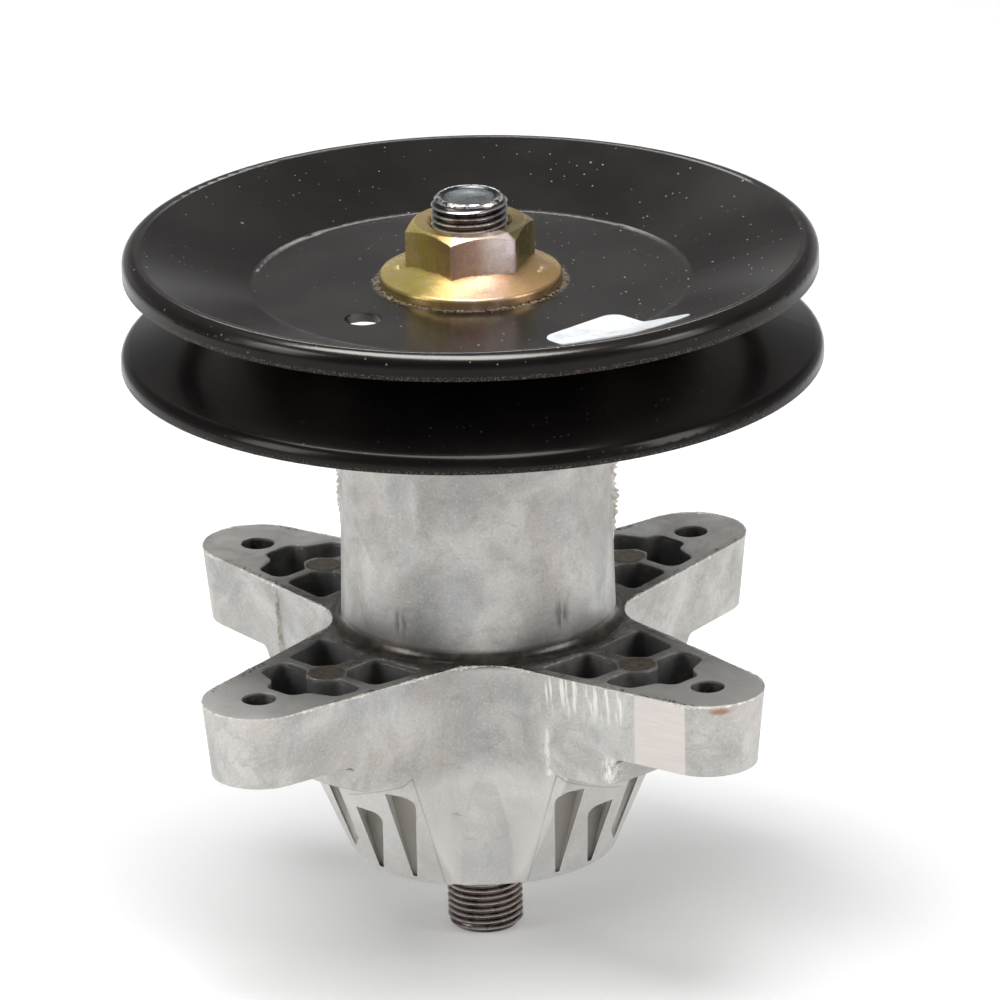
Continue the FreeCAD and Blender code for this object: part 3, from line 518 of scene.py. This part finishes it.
# Hue of the nut's plating round its hexagon and round its flange, partly a painted highlight at the front:
# degrees from +X, and colour
HEX_HUES_AND_HIGHLIGHT = (
    (0, tint(132, 122, 74)),
    (60, tint(206, 182, 122)),
    (150, tint(216, 190, 128)),
    (193, tint(204, 180, 112)),
    (215, tint(184, 164, 86)),
    (250, tint(166, 134, 88)),
    (254, tint(208, 168, 148)),
    (275, tint(232, 190, 168)),
    # Near white on the right half of the front face: a painted highlight
    (288, tint(255, 238, 222)),
    (310, tint(255, 234, 236)),
    (313, tint(112, 106, 66)),
    (345, tint(120, 112, 68)),
)
FLANGE_HUES_AND_HIGHLIGHT = (
    (0, tint(186, 154, 104)),
    (90, tint(204, 174, 118)),
    (195, tint(198, 178, 110)),
    (230, tint(178, 162, 88)),
    (250, tint(232, 198, 126)),
    # Palest at the front: partly a painted highlight
    (266, tint(242, 208, 166)),
    (286, tint(242, 208, 182)),
    (300, tint(236, 190, 140)),
    (315, tint(206, 166, 118)),
    (340, tint(186, 150, 102)),
)


def yellow_zinc():
    """Yellow chromate on zinc: a thin film whose hue drifts between green-gold, pink and brown, with a
    painted highlight at the front and painted shade in its corners.
    """
    shader = Shader("yellow_zinc")
    film = shader.noise(3.0, 4.0, 0.6, offset=60.0)
    below_hex = shader.ramp(shader.z, WEB_Z + 5.2, WEB_Z + 4.6)
    on_flange = shader.either(below_hex, shader.ramp(shader.radius, 13.9, 14.1))
    colour = shader.blend(on_flange, shader.wheel(HEX_HUES_AND_HIGHLIGHT), shader.wheel(FLANGE_HUES_AND_HIGHLIGHT))
    colour = shader.blend(shader.ramp(film, 0.5, 0.72, 0.0, 0.4), colour, tint(160, 146, 88))
    pink = shader.ramp(shader.noise(4.0, 3.0, offset=95.0), 0.55, 0.75, 0.0, 0.35)
    colour = shader.blend(pink, colour, tint(220, 180, 180))
    soft, edges = shader.soft_edges(NUT_EDGE * MM)
    # Paler edges: partly worn, partly a painted highlight
    colour = shader.blend(shader.times(edges, 0.8), colour, tint(250, 236, 200))
    on_top = shader.ramp(shader.normal_z, 0.97, 0.99)
    rim = shader.times(shader.ramp(shader.radius, FLANGE_R - 0.5, FLANGE_R - 0.1), 0.6)
    # Brown dirt on the top faces and at the flange's rim, with painted shade darkening the corners
    nut_grime_and_shade = shader.either(shader.ramp(shader.crevice(2.0), 0.35, 0.85), shader.times(on_top, 0.55), rim)
    nut_grime_and_shade = shader.times(nut_grime_and_shade, shader.ramp(film, 0.25, 0.55, 0.5, 1.0))
    specks = shader.times(shader.specks(1.6, 0.22, 0.35), 0.7)
    colour = shader.blend(shader.either(nut_grime_and_shade, specks), colour, tint(104, 82, 50))
    rough = shader.ramp(film, 0.3, 0.7, 0.22, 0.34)
    normal = shader.relief(shader.noise(0.8, 3.0, 0.6), 0.015, soft)
    return shader.finish(Base_Color=colour, Roughness=rough, Metallic=0.6, Normal=normal)


def turned_steel(name, light, dark, rust):
    """Turned steel: fine rings round the axis, a few rusty spots, and an oily film with painted shade in
    the corners.
    """
    shader = Shader(name)
    rings = shader.noise(0.45, 2.0, stretch=(0.04, 0.04, 1.0))
    clouds = shader.noise(5.0, 4.0, 0.6)
    colour = shader.blend(shader.ramp(clouds, 0.35, 0.65), light, dark)
    spots = shader.ramp(shader.noise(2.0, 4.0, 0.65, offset=25.0), 0.58, 0.72)
    colour = shader.blend(shader.times(spots, rust), colour, tint(96, 68, 48))
    # Dark corners: partly an oily film, partly painted shade
    oil_and_shade = shader.ramp(shader.crevice(1.6), 0.3, 0.8)
    colour = shader.blend(shader.times(oil_and_shade, 0.7), colour, tint(26, 24, 23))
    rough = shader.mix(oil_and_shade, shader.ramp(rings, 0.3, 0.7, 0.22, 0.42), 0.5)
    normal = shader.relief(rings, 0.012)
    return shader.finish(Base_Color=colour, Roughness=rough, Metallic=0.95, Normal=normal)


def shaft_steel():
    """The shaft's steel: bright thread crests over roots painted darker as shade, and a dark turned upper
    end.
    """
    shader = Shader("shaft_steel")
    clouds = shader.ramp(shader.noise(4.0, 4.0, 0.6), 0.35, 0.65)
    # Painted shade: the thread's roots are darker than its crests
    crest = shader.ramp(shader.radius, THREAD_R - 0.62, THREAD_R - 0.08)
    lower = shader.ramp(shader.z, 0.0, LOWER_THREAD_TOP)
    bright = shader.blend(lower, tint(226, 224, 222), tint(222, 214, 208))
    root = shader.blend(clouds, tint(76, 70, 68), tint(116, 108, 104))
    colour = shader.blend(crest, root, bright)
    spots = shader.ramp(shader.noise(1.8, 4.0, 0.65, offset=25.0), 0.56, 0.72, 0.0, 0.4)
    colour = shader.blend(spots, colour, tint(104, 78, 66))
    at_end = shader.ramp(shader.z, SHAFT_TOP - 0.8, SHAFT_TOP - 0.6)
    circles = shader.ramp(shader.noise(0.7, 2.0, stretch=(0.02, 0.02, 1.0)), 0.4, 0.6)
    face = shader.blend(shader.ramp(shader.radius, 4.9, 5.4), tint(128, 132, 134), tint(70, 70, 72))
    face = shader.blend(shader.times(circles, 0.3), face, tint(140, 144, 146))
    bare = shader.ramp(shader.noise(1.1, 3.0, 0.7), 0.4, 0.55)
    rim = shader.times(shader.ramp(shader.radius, 5.9, 6.3), bare)
    colour = shader.blend(at_end, colour, shader.blend(rim, face, tint(240, 238, 236)))
    rough = shader.ramp(clouds, 0.0, 1.0, 0.22, 0.36)
    normal = shader.relief(shader.noise(0.6, 3.0, 0.6), 0.012)
    return shader.finish(Base_Color=colour, Roughness=rough, Metallic=0.92, Normal=normal)


def seal_rubber():
    """Moulded black rubber with a faint bloom and a matt grain."""
    shader = Shader("seal_rubber")
    bloom = shader.noise(4.0, 4.0, 0.6)
    colour = shader.blend(shader.ramp(bloom, 0.35, 0.7), tint(24, 24, 25), tint(44, 43, 42))
    normal = shader.relief(shader.noise(0.35, 2.0), 0.02)
    rough = shader.ramp(bloom, 0.3, 0.7, 0.5, 0.7)
    return shader.finish(Base_Color=colour, Roughness=rough, Normal=normal)


def label_film():
    """White label film without words, smudged and a little worn."""
    shader = Shader("label_film")
    smudge = shader.noise(4.5, 4.0, 0.6)
    colour = shader.blend(shader.ramp(smudge, 0.42, 0.68), tint(226, 229, 232), tint(196, 198, 200))
    colour = shader.blend(shader.times(shader.specks(1.9, 0.22, 0.35), 0.7), colour, tint(92, 86, 80))
    normal = shader.relief(shader.noise(1.2, 2.0), 0.02)
    rough = shader.ramp(smudge, 0.3, 0.7, 0.34, 0.5)
    return shader.finish(Base_Color=colour, Roughness=rough, Normal=normal)


def dry_dirt():
    """Dried grass dust and grease crumbs."""
    shader = Shader("dry_dirt")
    colour = shader.blend(shader.noise(0.8, 3.0), tint(70, 60, 50), tint(158, 146, 128))
    normal = shader.relief(shader.noise(0.3, 3.0), 0.08)
    rough = shader.ramp(shader.noise(0.5), 0.3, 0.7, 0.75, 0.95)
    return shader.finish(Base_Color=colour, Roughness=rough, Normal=normal)


MATERIALS = {
    "cast_aluminium": cast_aluminium(),
    "cast_pad": plain_cast("cast_pad", tint(92, 84, 72), tint(128, 118, 102), 0.5),
    "cast_flash": plain_cast("cast_flash", tint(188, 182, 172), tint(236, 233, 226), 0.45),
    "black_paint": black_paint(),
    "yellow_zinc": yellow_zinc(),
    "shaft_steel": shaft_steel(),
    "bearing_steel": turned_steel("bearing_steel", tint(200, 200, 202), tint(176, 176, 180), 0.0),
    "cage_steel": turned_steel("cage_steel", tint(164, 160, 152), tint(138, 134, 128), 0.1),
    "spacer_steel": turned_steel("spacer_steel", tint(158, 154, 150), tint(118, 114, 110), 0.2),
    "seal_rubber": seal_rubber(),
    "label_film": label_film(),
    "dry_dirt": dry_dirt(),
}


SHARP_ANGLE = math.radians(35)


def wear_material(obj, name):
    """Gives an object one material, in place of what it had."""
    obj.data.materials.clear()
    obj.data.materials.append(MATERIALS[name])


def add_piece(name, mesh, material, body):
    """Makes a mesh an object of the scene that rides on a body."""
    mesh.normal_update()
    data = bpy.data.meshes.new(name)
    mesh.to_mesh(data)
    mesh.free()
    piece = bpy.data.objects.new(name, data)
    bpy.context.scene.collection.objects.link(piece)
    data.polygons.foreach_set("use_smooth", [True] * len(data.polygons))
    data.set_sharp_from_angle(angle=SHARP_ANGLE)
    wear_material(piece, material)
    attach(piece, body)
    return piece


def surface_of(node):
    """A search tree of a CAD node's faces, to set things down on them."""
    mesh = bmesh.new()
    mesh.from_mesh(frame["nodes"][node].data)
    tree = BVHTree.FromBMesh(mesh)
    mesh.free()
    return tree


def drop(tree, x, y, start):
    """The surface's point straight below (x, y, start), in millimetres, and its normal there."""
    point, normal, _, _ = tree.ray_cast(Vector((x, y, start)) * MM, Vector((0, 0, -1)))
    return point / MM, normal


def add_grid(mesh, rows, shift=0):
    """Joins rows of points round the axis with faces; each row starts again `shift` rows further on."""
    made = []
    for row in rows:
        made.append([mesh.verts.new(Vector(point) * MM) for point in row])
    columns = len(rows[0])
    for lower in range(len(rows) - 1 - shift):
        for column in range(columns):
            beyond = (column + 1) % columns
            step = shift if beyond == 0 else 0
            mesh.faces.new((
                made[lower][column],
                made[lower + step][beyond],
                made[lower + step + 1][beyond],
                made[lower + 1][column],
            ))


def ring(radius, height, columns):
    """A row of points round the axis."""
    turn = math.tau / columns
    return [(radius * math.cos(turn * i), radius * math.sin(turn * i), height) for i in range(columns)]


# A thread's outline over one pitch: where along the pitch, and what share of the depth
THREAD_OUTLINE = ((0.0, 0.1), (0.03, 0.0), (0.1, 0.0), (0.13, 0.1), (0.44, 1.0), (0.69, 1.0))
THREAD_COLUMNS = 96


def thread_rows(low, high, end):
    """Rows of a helical thread between two heights, bevelled at its free end."""
    rows = []
    turns = math.ceil((high - low) / THREAD_PITCH) + 2
    for turn in range(-2, turns):
        for share, depth in THREAD_OUTLINE:
            row = []
            for column in range(THREAD_COLUMNS):
                part = column / THREAD_COLUMNS
                height = low + (turn + share + part) * THREAD_PITCH
                height = min(max(height, low), high)
                limit = THREAD_R - END_BEVEL + abs(height - end)
                radius = min(THREAD_R - depth * THREAD_DEPTH, limit)
                if height in (low, high):
                    radius = min(THREAD_R - THREAD_DEPTH, limit)
                angle = math.tau * part
                row.append((radius * math.cos(angle), radius * math.sin(angle), height))
            rows.append(row)
    return rows


# End faces of the shaft, from the rim to the axis: radius, and depth below the end
THREAD_RIM = THREAD_R - END_BEVEL
UPPER_END = ((THREAD_RIM, 0.0), (5.75, 0.0), (5.6, 0.36), (5.1, 0.4), (3.3, 0.36), (3.1, 0.4), (0.05, 0.4))
LOWER_END = ((THREAD_RIM, 0.0), (3.0, 0.0), (0.05, 2.95))
# How near points have to be to become one, in metres: at a cut, and between the shaft's stretches
CUT_WELD = 1e-7
STRETCH_WELD = 2e-6


def end_face(outline, height, inward):
    """Rows of an end face of the shaft, from its outline."""
    return [ring(radius, height + inward * depth, THREAD_COLUMNS) for radius, depth in outline]


def threaded_shaft():
    """The shaft with real helical threads; its middle is the CAD node's own shape."""
    mesh = bmesh.new()
    mesh.from_mesh(frame["nodes"]["shaft"].data)
    for height, outward in ((LOWER_THREAD_TOP, -1), (UPPER_THREAD_FOOT, 1)):
        parts = mesh.verts[:] + mesh.edges[:] + mesh.faces[:]
        plane = {"plane_co": (0, 0, height * MM), "plane_no": (0, 0, outward)}
        bmesh.ops.bisect_plane(mesh, geom=parts, dist=CUT_WELD, clear_outer=True, **plane)
    bmesh.ops.remove_doubles(mesh, verts=mesh.verts[:], dist=CUT_WELD)
    add_grid(mesh, thread_rows(FLOOR_Z, LOWER_THREAD_TOP, FLOOR_Z), shift=len(THREAD_OUTLINE))
    add_grid(mesh, end_face(LOWER_END, FLOOR_Z, 1)[::-1])
    add_grid(mesh, thread_rows(UPPER_THREAD_FOOT, SHAFT_TOP, SHAFT_TOP), shift=len(THREAD_OUTLINE))
    add_grid(mesh, end_face(UPPER_END, SHAFT_TOP, -1))
    bmesh.ops.remove_doubles(mesh, verts=mesh.verts[:], dist=STRETCH_WELD)
    bmesh.ops.dissolve_degenerate(mesh, edges=mesh.edges[:], dist=STRETCH_WELD)
    bmesh.ops.recalc_face_normals(mesh, faces=mesh.faces[:])
    shaft = add_piece("threaded_shaft", mesh, "shaft_steel", "rotor")
    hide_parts("shaft")


# Label: outward and sideways from the shaft's axis, in millimetres
LABEL_BEARING = math.radians(-47.1)
LABEL_OUT = (36.5, 60.5)
LABEL_SIDE = (-15.5, 5.5)
LABEL_ROUND = 3.0
LABEL_LIFT = 0.12
LABEL_TUCK = -0.02
LABEL_CORE = 0.002
LABEL_CORNER_STEPS = 6
LABEL_POINTS = 96
LABEL_ROWS = 24


def rounded_outline(low, high, corner, steps):
    """Points round a rectangle with round corners, given its opposite corners."""
    points = []
    corners = ((high[0], high[1]), (low[0], high[1]), (low[0], low[1]), (high[0], low[1]))
    for quarter, (x, y) in enumerate(corners):
        centre_x = x - corner if x == high[0] else x + corner
        centre_y = y - corner if y == high[1] else y + corner
        for i in range(steps + 1):
            angle = math.pi / 2 * (quarter + i / steps)
            points.append((centre_x + corner * math.cos(angle), centre_y + corner * math.sin(angle)))
    return points


def resample(points, count):
    """Points at even steps along a closed outline."""
    pairs = list(zip(points, points[1:] + points[:1]))
    whole = sum(math.dist(a, b) for a, b in pairs)
    spots = []
    run = 0.0
    for start, end in pairs:
        length = math.dist(start, end)
        while length and len(spots) < count and len(spots) * whole / count <= run + length:
            share = (len(spots) * whole / count - run) / length
            spots.append(tuple(a + (b - a) * share for a, b in zip(start, end)))
        run += length
    return spots


def blank_label():
    """The label film, laid over the pulley's web and cone."""
    tree = surface_of("pulley_upper_half")
    low = (LABEL_OUT[0], LABEL_SIDE[0])
    high = (LABEL_OUT[1], LABEL_SIDE[1])
    outline = resample(rounded_outline(low, high, LABEL_ROUND, LABEL_CORNER_STEPS), LABEL_POINTS)
    middle = [sum(pair) / 2 for pair in zip(low, high)]
    rows = []
    cosine, sine = math.cos(LABEL_BEARING), math.sin(LABEL_BEARING)
    inner = [(1 - i / LABEL_ROWS, LABEL_LIFT) for i in range(LABEL_ROWS)]
    for share, lift in ((1.0, LABEL_TUCK), *inner, (LABEL_CORE, LABEL_LIFT)):
        row = []
        for out, side in outline:
            out = middle[0] + (out - middle[0]) * share
            side = middle[1] + (side - middle[1]) * share
            point, normal = drop(tree, out * cosine - side * sine, out * sine + side * cosine, SHAFT_TOP)
            row.append(point + normal * lift)
        rows.append(row)
    mesh = bmesh.new()
    add_grid(mesh, rows)
    add_piece("blank_label", mesh, "label_film", "rotor")


PAD_ALONG = 45.4
PAD_R = 3.9
PAD_POINTS = 40
PAD_RAGGED = (0.94, 1.04)
PAD_LOOK_Z = 1.0
PAD_SEED = 5
# Section of a pad: radius, and height above its floor
PAD_SECTION = ((PAD_R, -0.5), (PAD_R, 0.04), (PAD_R - 0.2, 0.14), (PAD_R - 0.6, 0.1), (0.02, 0.1))


def ejector_pads():
    """Round pads with ragged edges that the mould's ejector pins left between the pockets."""
    draw = random.Random(PAD_SEED)
    tree = surface_of("housing")
    mesh = bmesh.new()
    for angle in ARM_ANGLES:
        x = PAD_ALONG * math.cos(math.radians(angle))
        y = PAD_ALONG * math.sin(math.radians(angle))
        floor, _ = drop(tree, x, y, PAD_LOOK_Z)
        ragged = [draw.uniform(*PAD_RAGGED) for _ in range(PAD_POINTS)]
        rows = []
        for radius, lift in PAD_SECTION:
            outline = zip(ring(radius, 0.0, PAD_POINTS), ragged)
            rows.append([(x + dx * rag, y + dy * rag, floor.z + lift) for (dx, dy, _), rag in outline])
        add_grid(mesh, rows)
    add_piece("ejector_pads", mesh, "cast_pad", "housing")


FLASH_POINTS = 1500
FLASH_LOOKS = 2880
FLASH_STRETCHES = 120
FLASH_LEVEL = -0.25
FLASH_LOOK_R = 2 * PAD_ALONG
FLASH_SEED = 11
# Size of the flash along the edge, and of each chip in it
FLASH_GROWTH = (0.05, 1.0)
FLASH_CHIP = (0.35, 1.25)
# Cross-section of the flash: outwards from the edge, and up from the flange's top
FLASH_SECTION = ((0.02, -0.7), (0.2, -0.1), (-0.08, 0.24), (-0.5, 0.16), (-0.8, -0.08))


def flange_edge():
    """Points at even steps along the edge of the flange's top face."""
    tree = surface_of("housing")
    edge = []
    for look in range(FLASH_LOOKS):
        angle = math.tau * look / FLASH_LOOKS
        out = Vector((math.cos(angle), math.sin(angle), 0))
        start = out * FLASH_LOOK_R + Vector((0, 0, FLASH_LEVEL))
        point, _, _, _ = tree.ray_cast(start * MM, -out)
        edge.append((point.x / MM, point.y / MM))
    return resample(edge, FLASH_POINTS)


def chip_sizes(count):
    """Sizes of the chips in the flash, which grows and shrinks along the edge."""
    draw = random.Random(FLASH_SEED)
    stretches = [draw.uniform(*FLASH_GROWTH) for _ in range(FLASH_STRETCHES)]
    chips = []
    for i in range(count):
        place = i * FLASH_STRETCHES / count
        before = stretches[int(place)]
        after = stretches[(int(place) + 1) % FLASH_STRETCHES]
        chips.append((before + (after - before) * (place % 1)) * draw.uniform(*FLASH_CHIP))
    return chips


def flange_flash():
    """Thin chipped flash along the edge of the flange's top face."""
    edge = flange_edge()
    chips = chip_sizes(len(edge))
    rows = []
    for outward, up in FLASH_SECTION:
        row = []
        for i, (x, y) in enumerate(edge):
            before, after = Vector(edge[i - 1]), Vector(edge[(i + 1) % len(edge)])
            run = (after - before).normalized()
            size = chips[i]
            shift = outward * size
            row.append((x + run.y * shift, y - run.x * shift, up * size))
        rows.append(row)
    mesh = bmesh.new()
    add_grid(mesh, rows)
    add_piece("flange_flash", mesh, "cast_flash", "housing")


FIN_STEPS = 60
FIN_FOOT = 0.35
FIN_RISE = 4
FIN_FALL = 8
FIN_RAGGED = (0.35, 1.0)
FIN_SEED = 3
# Fins where the halves of the mould met: lower and upper end, outward direction, sideways direction, reach
FINS = (
    ((-28.4, 0.0, 21.0), (-27.9, 0.0, 46.0), (-1.0, 0.0, 0.0), (0.0, 1.0, 0.0), 1.0),
    ((28.5, 0.0, 15.5), (27.9, 0.0, 46.0), (1.0, 0.0, 0.0), (0.0, 1.0, 0.0), 1.7),
    ((-41.2, 22.2, -22.4), (-42.3, 20.6, -0.4), (-0.81, -0.58, -0.1), (0.58, -0.81, 0.0), 0.9),
)


def mould_fins():
    """Ragged upright fins of flash on the neck and on the rear left arm."""
    draw = random.Random(FIN_SEED)
    mesh = bmesh.new()
    for low, high, out, side, reach in FINS:
        low, high, out, side = (Vector(v) for v in (low, high, out, side))
        rows = []
        for step in range(FIN_STEPS + 1):
            share = step / FIN_STEPS
            taper = min(1.0, FIN_RISE * share, FIN_FALL * (1 - share))
            foot = low.lerp(high, share)
            tip = foot + out * reach * taper * draw.uniform(*FIN_RAGGED)
            root = foot - out * FIN_FOOT
            rows.append([root - side * FIN_FOOT, tip, root + side * FIN_FOOT])
        add_grid(mesh, rows)
    bmesh.ops.recalc_face_normals(mesh, faces=mesh.faces[:])
    add_piece("mould_fins", mesh, "cast_flash", "housing")


# Raised marks on the nut's flange: angle in degrees and how many bars
NUT_MARKS = ((185.0, 3), (341.0, 4))
MARK_RADIUS = 15.4
MARK_STEP = 3.4
MARK_BAR = (1.5, 0.55, 0.4)


def nut_marks():
    """Short raised bars on the nut's flange, without a meaning."""
    tree = surface_of("flange_nut")
    mesh = bmesh.new()
    for middle, count in NUT_MARKS:
        for bar in range(count):
            angle = math.radians(middle + MARK_STEP * (bar - (count - 1) / 2))
            x = MARK_RADIUS * math.cos(angle)
            y = MARK_RADIUS * math.sin(angle)
            point, normal = drop(tree, x, y, SHAFT_TOP)
            outward = Vector((math.cos(angle), math.sin(angle), 0))
            along = (outward - normal * outward.dot(normal)).normalized()
            turn = Matrix((along, normal.cross(along), normal)).transposed()
            place = Matrix.Translation(point * MM) @ turn.to_4x4() @ Matrix.Diagonal((*MARK_BAR, 1))
            bmesh.ops.create_icosphere(mesh, subdivisions=2, radius=MM / 2, matrix=place)
    add_piece("nut_marks", mesh, "yellow_zinc", "rotor")


CRUMBS = 150
CRUMB_SEED = 7
CRUMB_SIZES = (0.15, 0.5)
# How far out from the nut the crumbs lie: middle and spread
CRUMB_OUT = (0.2, 0.6)
# Each crumb's shape, as shares of its size
CRUMB_LENGTH = (0.7, 1.5)
CRUMB_WIDTH = (0.7, 1.2)
CRUMB_HEIGHT = (0.4, 0.8)
CRUMB_DENT = 0.06


def nut_crumbs():
    """Dirt crumbs caught round the nut's flange."""
    draw = random.Random(CRUMB_SEED)
    tree = surface_of("pulley_upper_half")
    mesh = bmesh.new()
    for _ in range(CRUMBS):
        angle = draw.uniform(0, math.tau)
        radius = FLANGE_R + abs(draw.gauss(*CRUMB_OUT))
        size = draw.uniform(*CRUMB_SIZES)
        point, _ = drop(tree, radius * math.cos(angle), radius * math.sin(angle), SHAFT_TOP)
        spin = Matrix.Rotation(draw.uniform(0, math.tau), 4, "Z")
        shape = [draw.uniform(*span) for span in (CRUMB_LENGTH, CRUMB_WIDTH, CRUMB_HEIGHT)]
        squash = Matrix.Diagonal((*shape, 1))
        move = Matrix.Translation(point * MM)
        bmesh.ops.create_icosphere(mesh, subdivisions=1, radius=size * MM, matrix=move @ spin @ squash)
    for vert in mesh.verts:
        vert.co += Vector([draw.uniform(-CRUMB_DENT, CRUMB_DENT) * MM for _ in range(3)])
    add_piece("nut_dirt_crumbs", mesh, "dry_dirt", "rotor")


# The photo's camera: angles in degrees, lengths in metres, places in pixels of the photo
PHOTO_WIDTH = 1000
CAMERA_AZIMUTH = math.radians(-0.81)
CAMERA_ELEVATION = math.radians(20.10)
CAMERA_ROLL = math.radians(-1.30)
CAMERA_DISTANCE = 2.404
CAMERA_FOCAL = 11519
AIM = Vector((0, 0, 0.020))
AIM_PIXEL = (476.6, 524.1)


def add_camera():
    """A camera at the photo's place and angle."""
    back = Vector((
        math.sin(CAMERA_AZIMUTH) * math.cos(CAMERA_ELEVATION),
        -math.cos(CAMERA_AZIMUTH) * math.cos(CAMERA_ELEVATION),
        math.sin(CAMERA_ELEVATION),
    ))
    level = Vector((math.cos(CAMERA_AZIMUTH), math.sin(CAMERA_AZIMUTH), 0))
    turn = Matrix((level, back.cross(level), back)).transposed() @ Matrix.Rotation(CAMERA_ROLL, 3, "Z")
    pixel = CAMERA_DISTANCE / CAMERA_FOCAL
    aside = turn.col[0] * (PHOTO_WIDTH / 2 - AIM_PIXEL[0]) + turn.col[1] * (AIM_PIXEL[1] - PHOTO_WIDTH / 2)
    data = bpy.data.cameras.new("photo_camera")
    data.lens = data.sensor_width * CAMERA_FOCAL / PHOTO_WIDTH
    camera = bpy.data.objects.new("photo_camera", data)
    bpy.context.scene.collection.objects.link(camera)
    camera.matrix_world = Matrix.Translation(AIM + back * CAMERA_DISTANCE + aside * pixel) @ turn.to_4x4()
    bpy.context.scene.camera = camera


FLOOR_HALF = 4.0
FLOOR_GLOW = 0.13
FLOOR_COLOUR = (0.88, 0.88, 0.88, 1)
FLOOR_ROUGHNESS = 0.9
FLOOR_GLOSS = 0.1
WHITE = (1, 1, 1, 1)


def seen_by_eye(tree):
    """One for rays that show a thing as it is: from the camera, a gloss or a glass."""
    path = tree.nodes.new("ShaderNodeLightPath")
    share = path.outputs["Is Camera Ray"]
    for name in ("Is Glossy Ray", "Is Transmission Ray"):
        node = tree.nodes.new("ShaderNodeMath")
        node.operation = "MAXIMUM"
        tree.links.new(share, node.inputs[0])
        tree.links.new(path.outputs[name], node.inputs[1])
        share = node.outputs[0]
    return share


def add_floor():
    """A plain pale floor that goes white in the open and keeps the part's shadow."""
    mesh = bmesh.new()
    bmesh.ops.create_grid(mesh, x_segments=1, y_segments=1, size=FLOOR_HALF)
    data = bpy.data.meshes.new("floor")
    mesh.to_mesh(data)
    mesh.free()
    floor = bpy.data.objects.new("floor", data)
    floor.location.z = FLOOR_Z * MM
    bpy.context.scene.collection.objects.link(floor)
    material = bpy.data.materials.new("pale_floor")
    material.use_nodes = True
    tree = material.node_tree
    surface = tree.nodes["Principled BSDF"]
    surface.inputs["Base Color"].default_value = FLOOR_COLOUR
    surface.inputs["Roughness"].default_value = FLOOR_ROUGHNESS
    surface.inputs["Specular IOR Level"].default_value = FLOOR_GLOSS
    surface.inputs["Emission Color"].default_value = WHITE
    glow = tree.nodes.new("ShaderNodeMath")
    glow.operation = "MULTIPLY"
    tree.links.new(seen_by_eye(tree), glow.inputs[0])
    glow.inputs[1].default_value = FLOOR_GLOW
    tree.links.new(glow.outputs[0], surface.inputs["Emission Strength"])
    data.materials.append(material)


AMBIENT = 0.14
HORIZON = 0.45
HORIZON_TOP = 0.3


def add_world():
    """An even grey room round the part, with a paler band near the horizon that only gloss shows."""
    world = bpy.data.worlds.new("studio")
    bpy.context.scene.world = world
    world.use_nodes = True
    tree = world.node_tree
    background = tree.nodes["Background"]
    background.inputs["Color"].default_value = WHITE
    direction = tree.nodes.new("ShaderNodeTexCoord").outputs["Generated"]
    split = tree.nodes.new("ShaderNodeSeparateXYZ")
    tree.links.new(direction, split.inputs["Vector"])
    band = tree.nodes.new("ShaderNodeMapRange")
    tree.links.new(split.outputs["Z"], band.inputs["Value"])
    limits = {"From Min": HORIZON_TOP, "From Max": 0.0, "To Min": AMBIENT, "To Max": HORIZON}
    for name, value in limits.items():
        band.inputs[name].default_value = value
    choice = tree.nodes.new("ShaderNodeMix")
    tree.links.new(seen_by_eye(tree), choice.inputs["Factor"])
    choice.inputs["A"].default_value = AMBIENT
    tree.links.new(band.outputs["Result"], choice.inputs["B"])
    tree.links.new(choice.outputs["Result"], background.inputs["Strength"])


# Soft boxes: name, place and size in metres, power in watts
SOFT_BOXES = (
    ("left_box", (-1.15, -0.45, 0.60), (0.5, 0.8), 7.2),
    ("right_box", (1.15, -0.45, 0.60), (0.5, 0.8), 7.5),
    ("top_box", (-0.10, -0.10, 1.35), (1.3, 0.6), 21.0),
    ("back_box", (0.0, 1.25, 0.90), (0.5, 0.15), 1.2),
)


def add_soft_boxes():
    """Soft lamps that look at the part and stay out of the picture."""
    for name, place, (width, height), power in SOFT_BOXES:
        data = bpy.data.lights.new(name, "AREA")
        data.shape = "RECTANGLE"
        data.size = width
        data.size_y = height
        data.energy = power
        light = bpy.data.objects.new(name, data)
        bpy.context.scene.collection.objects.link(light)
        light.location = place
        light.rotation_euler = (-Vector(place)).to_track_quat("-Z", "Y").to_euler()
        light.visible_camera = False


def dress_nodes():
    """Each CAD node takes the material that its slot in the record names."""
    for part in frame["record"]["subparts"]:
        wear_material(frame["nodes"][part["node"]], part["material_slot"])


dress_nodes()
threaded_shaft()
blank_label()
ejector_pads()
flange_flash()
mould_fins()
nut_marks()
nut_crumbs()
add_floor()
add_world()
add_soft_boxes()
add_camera()
bpy.context.scene.view_settings.view_transform = "Standard"
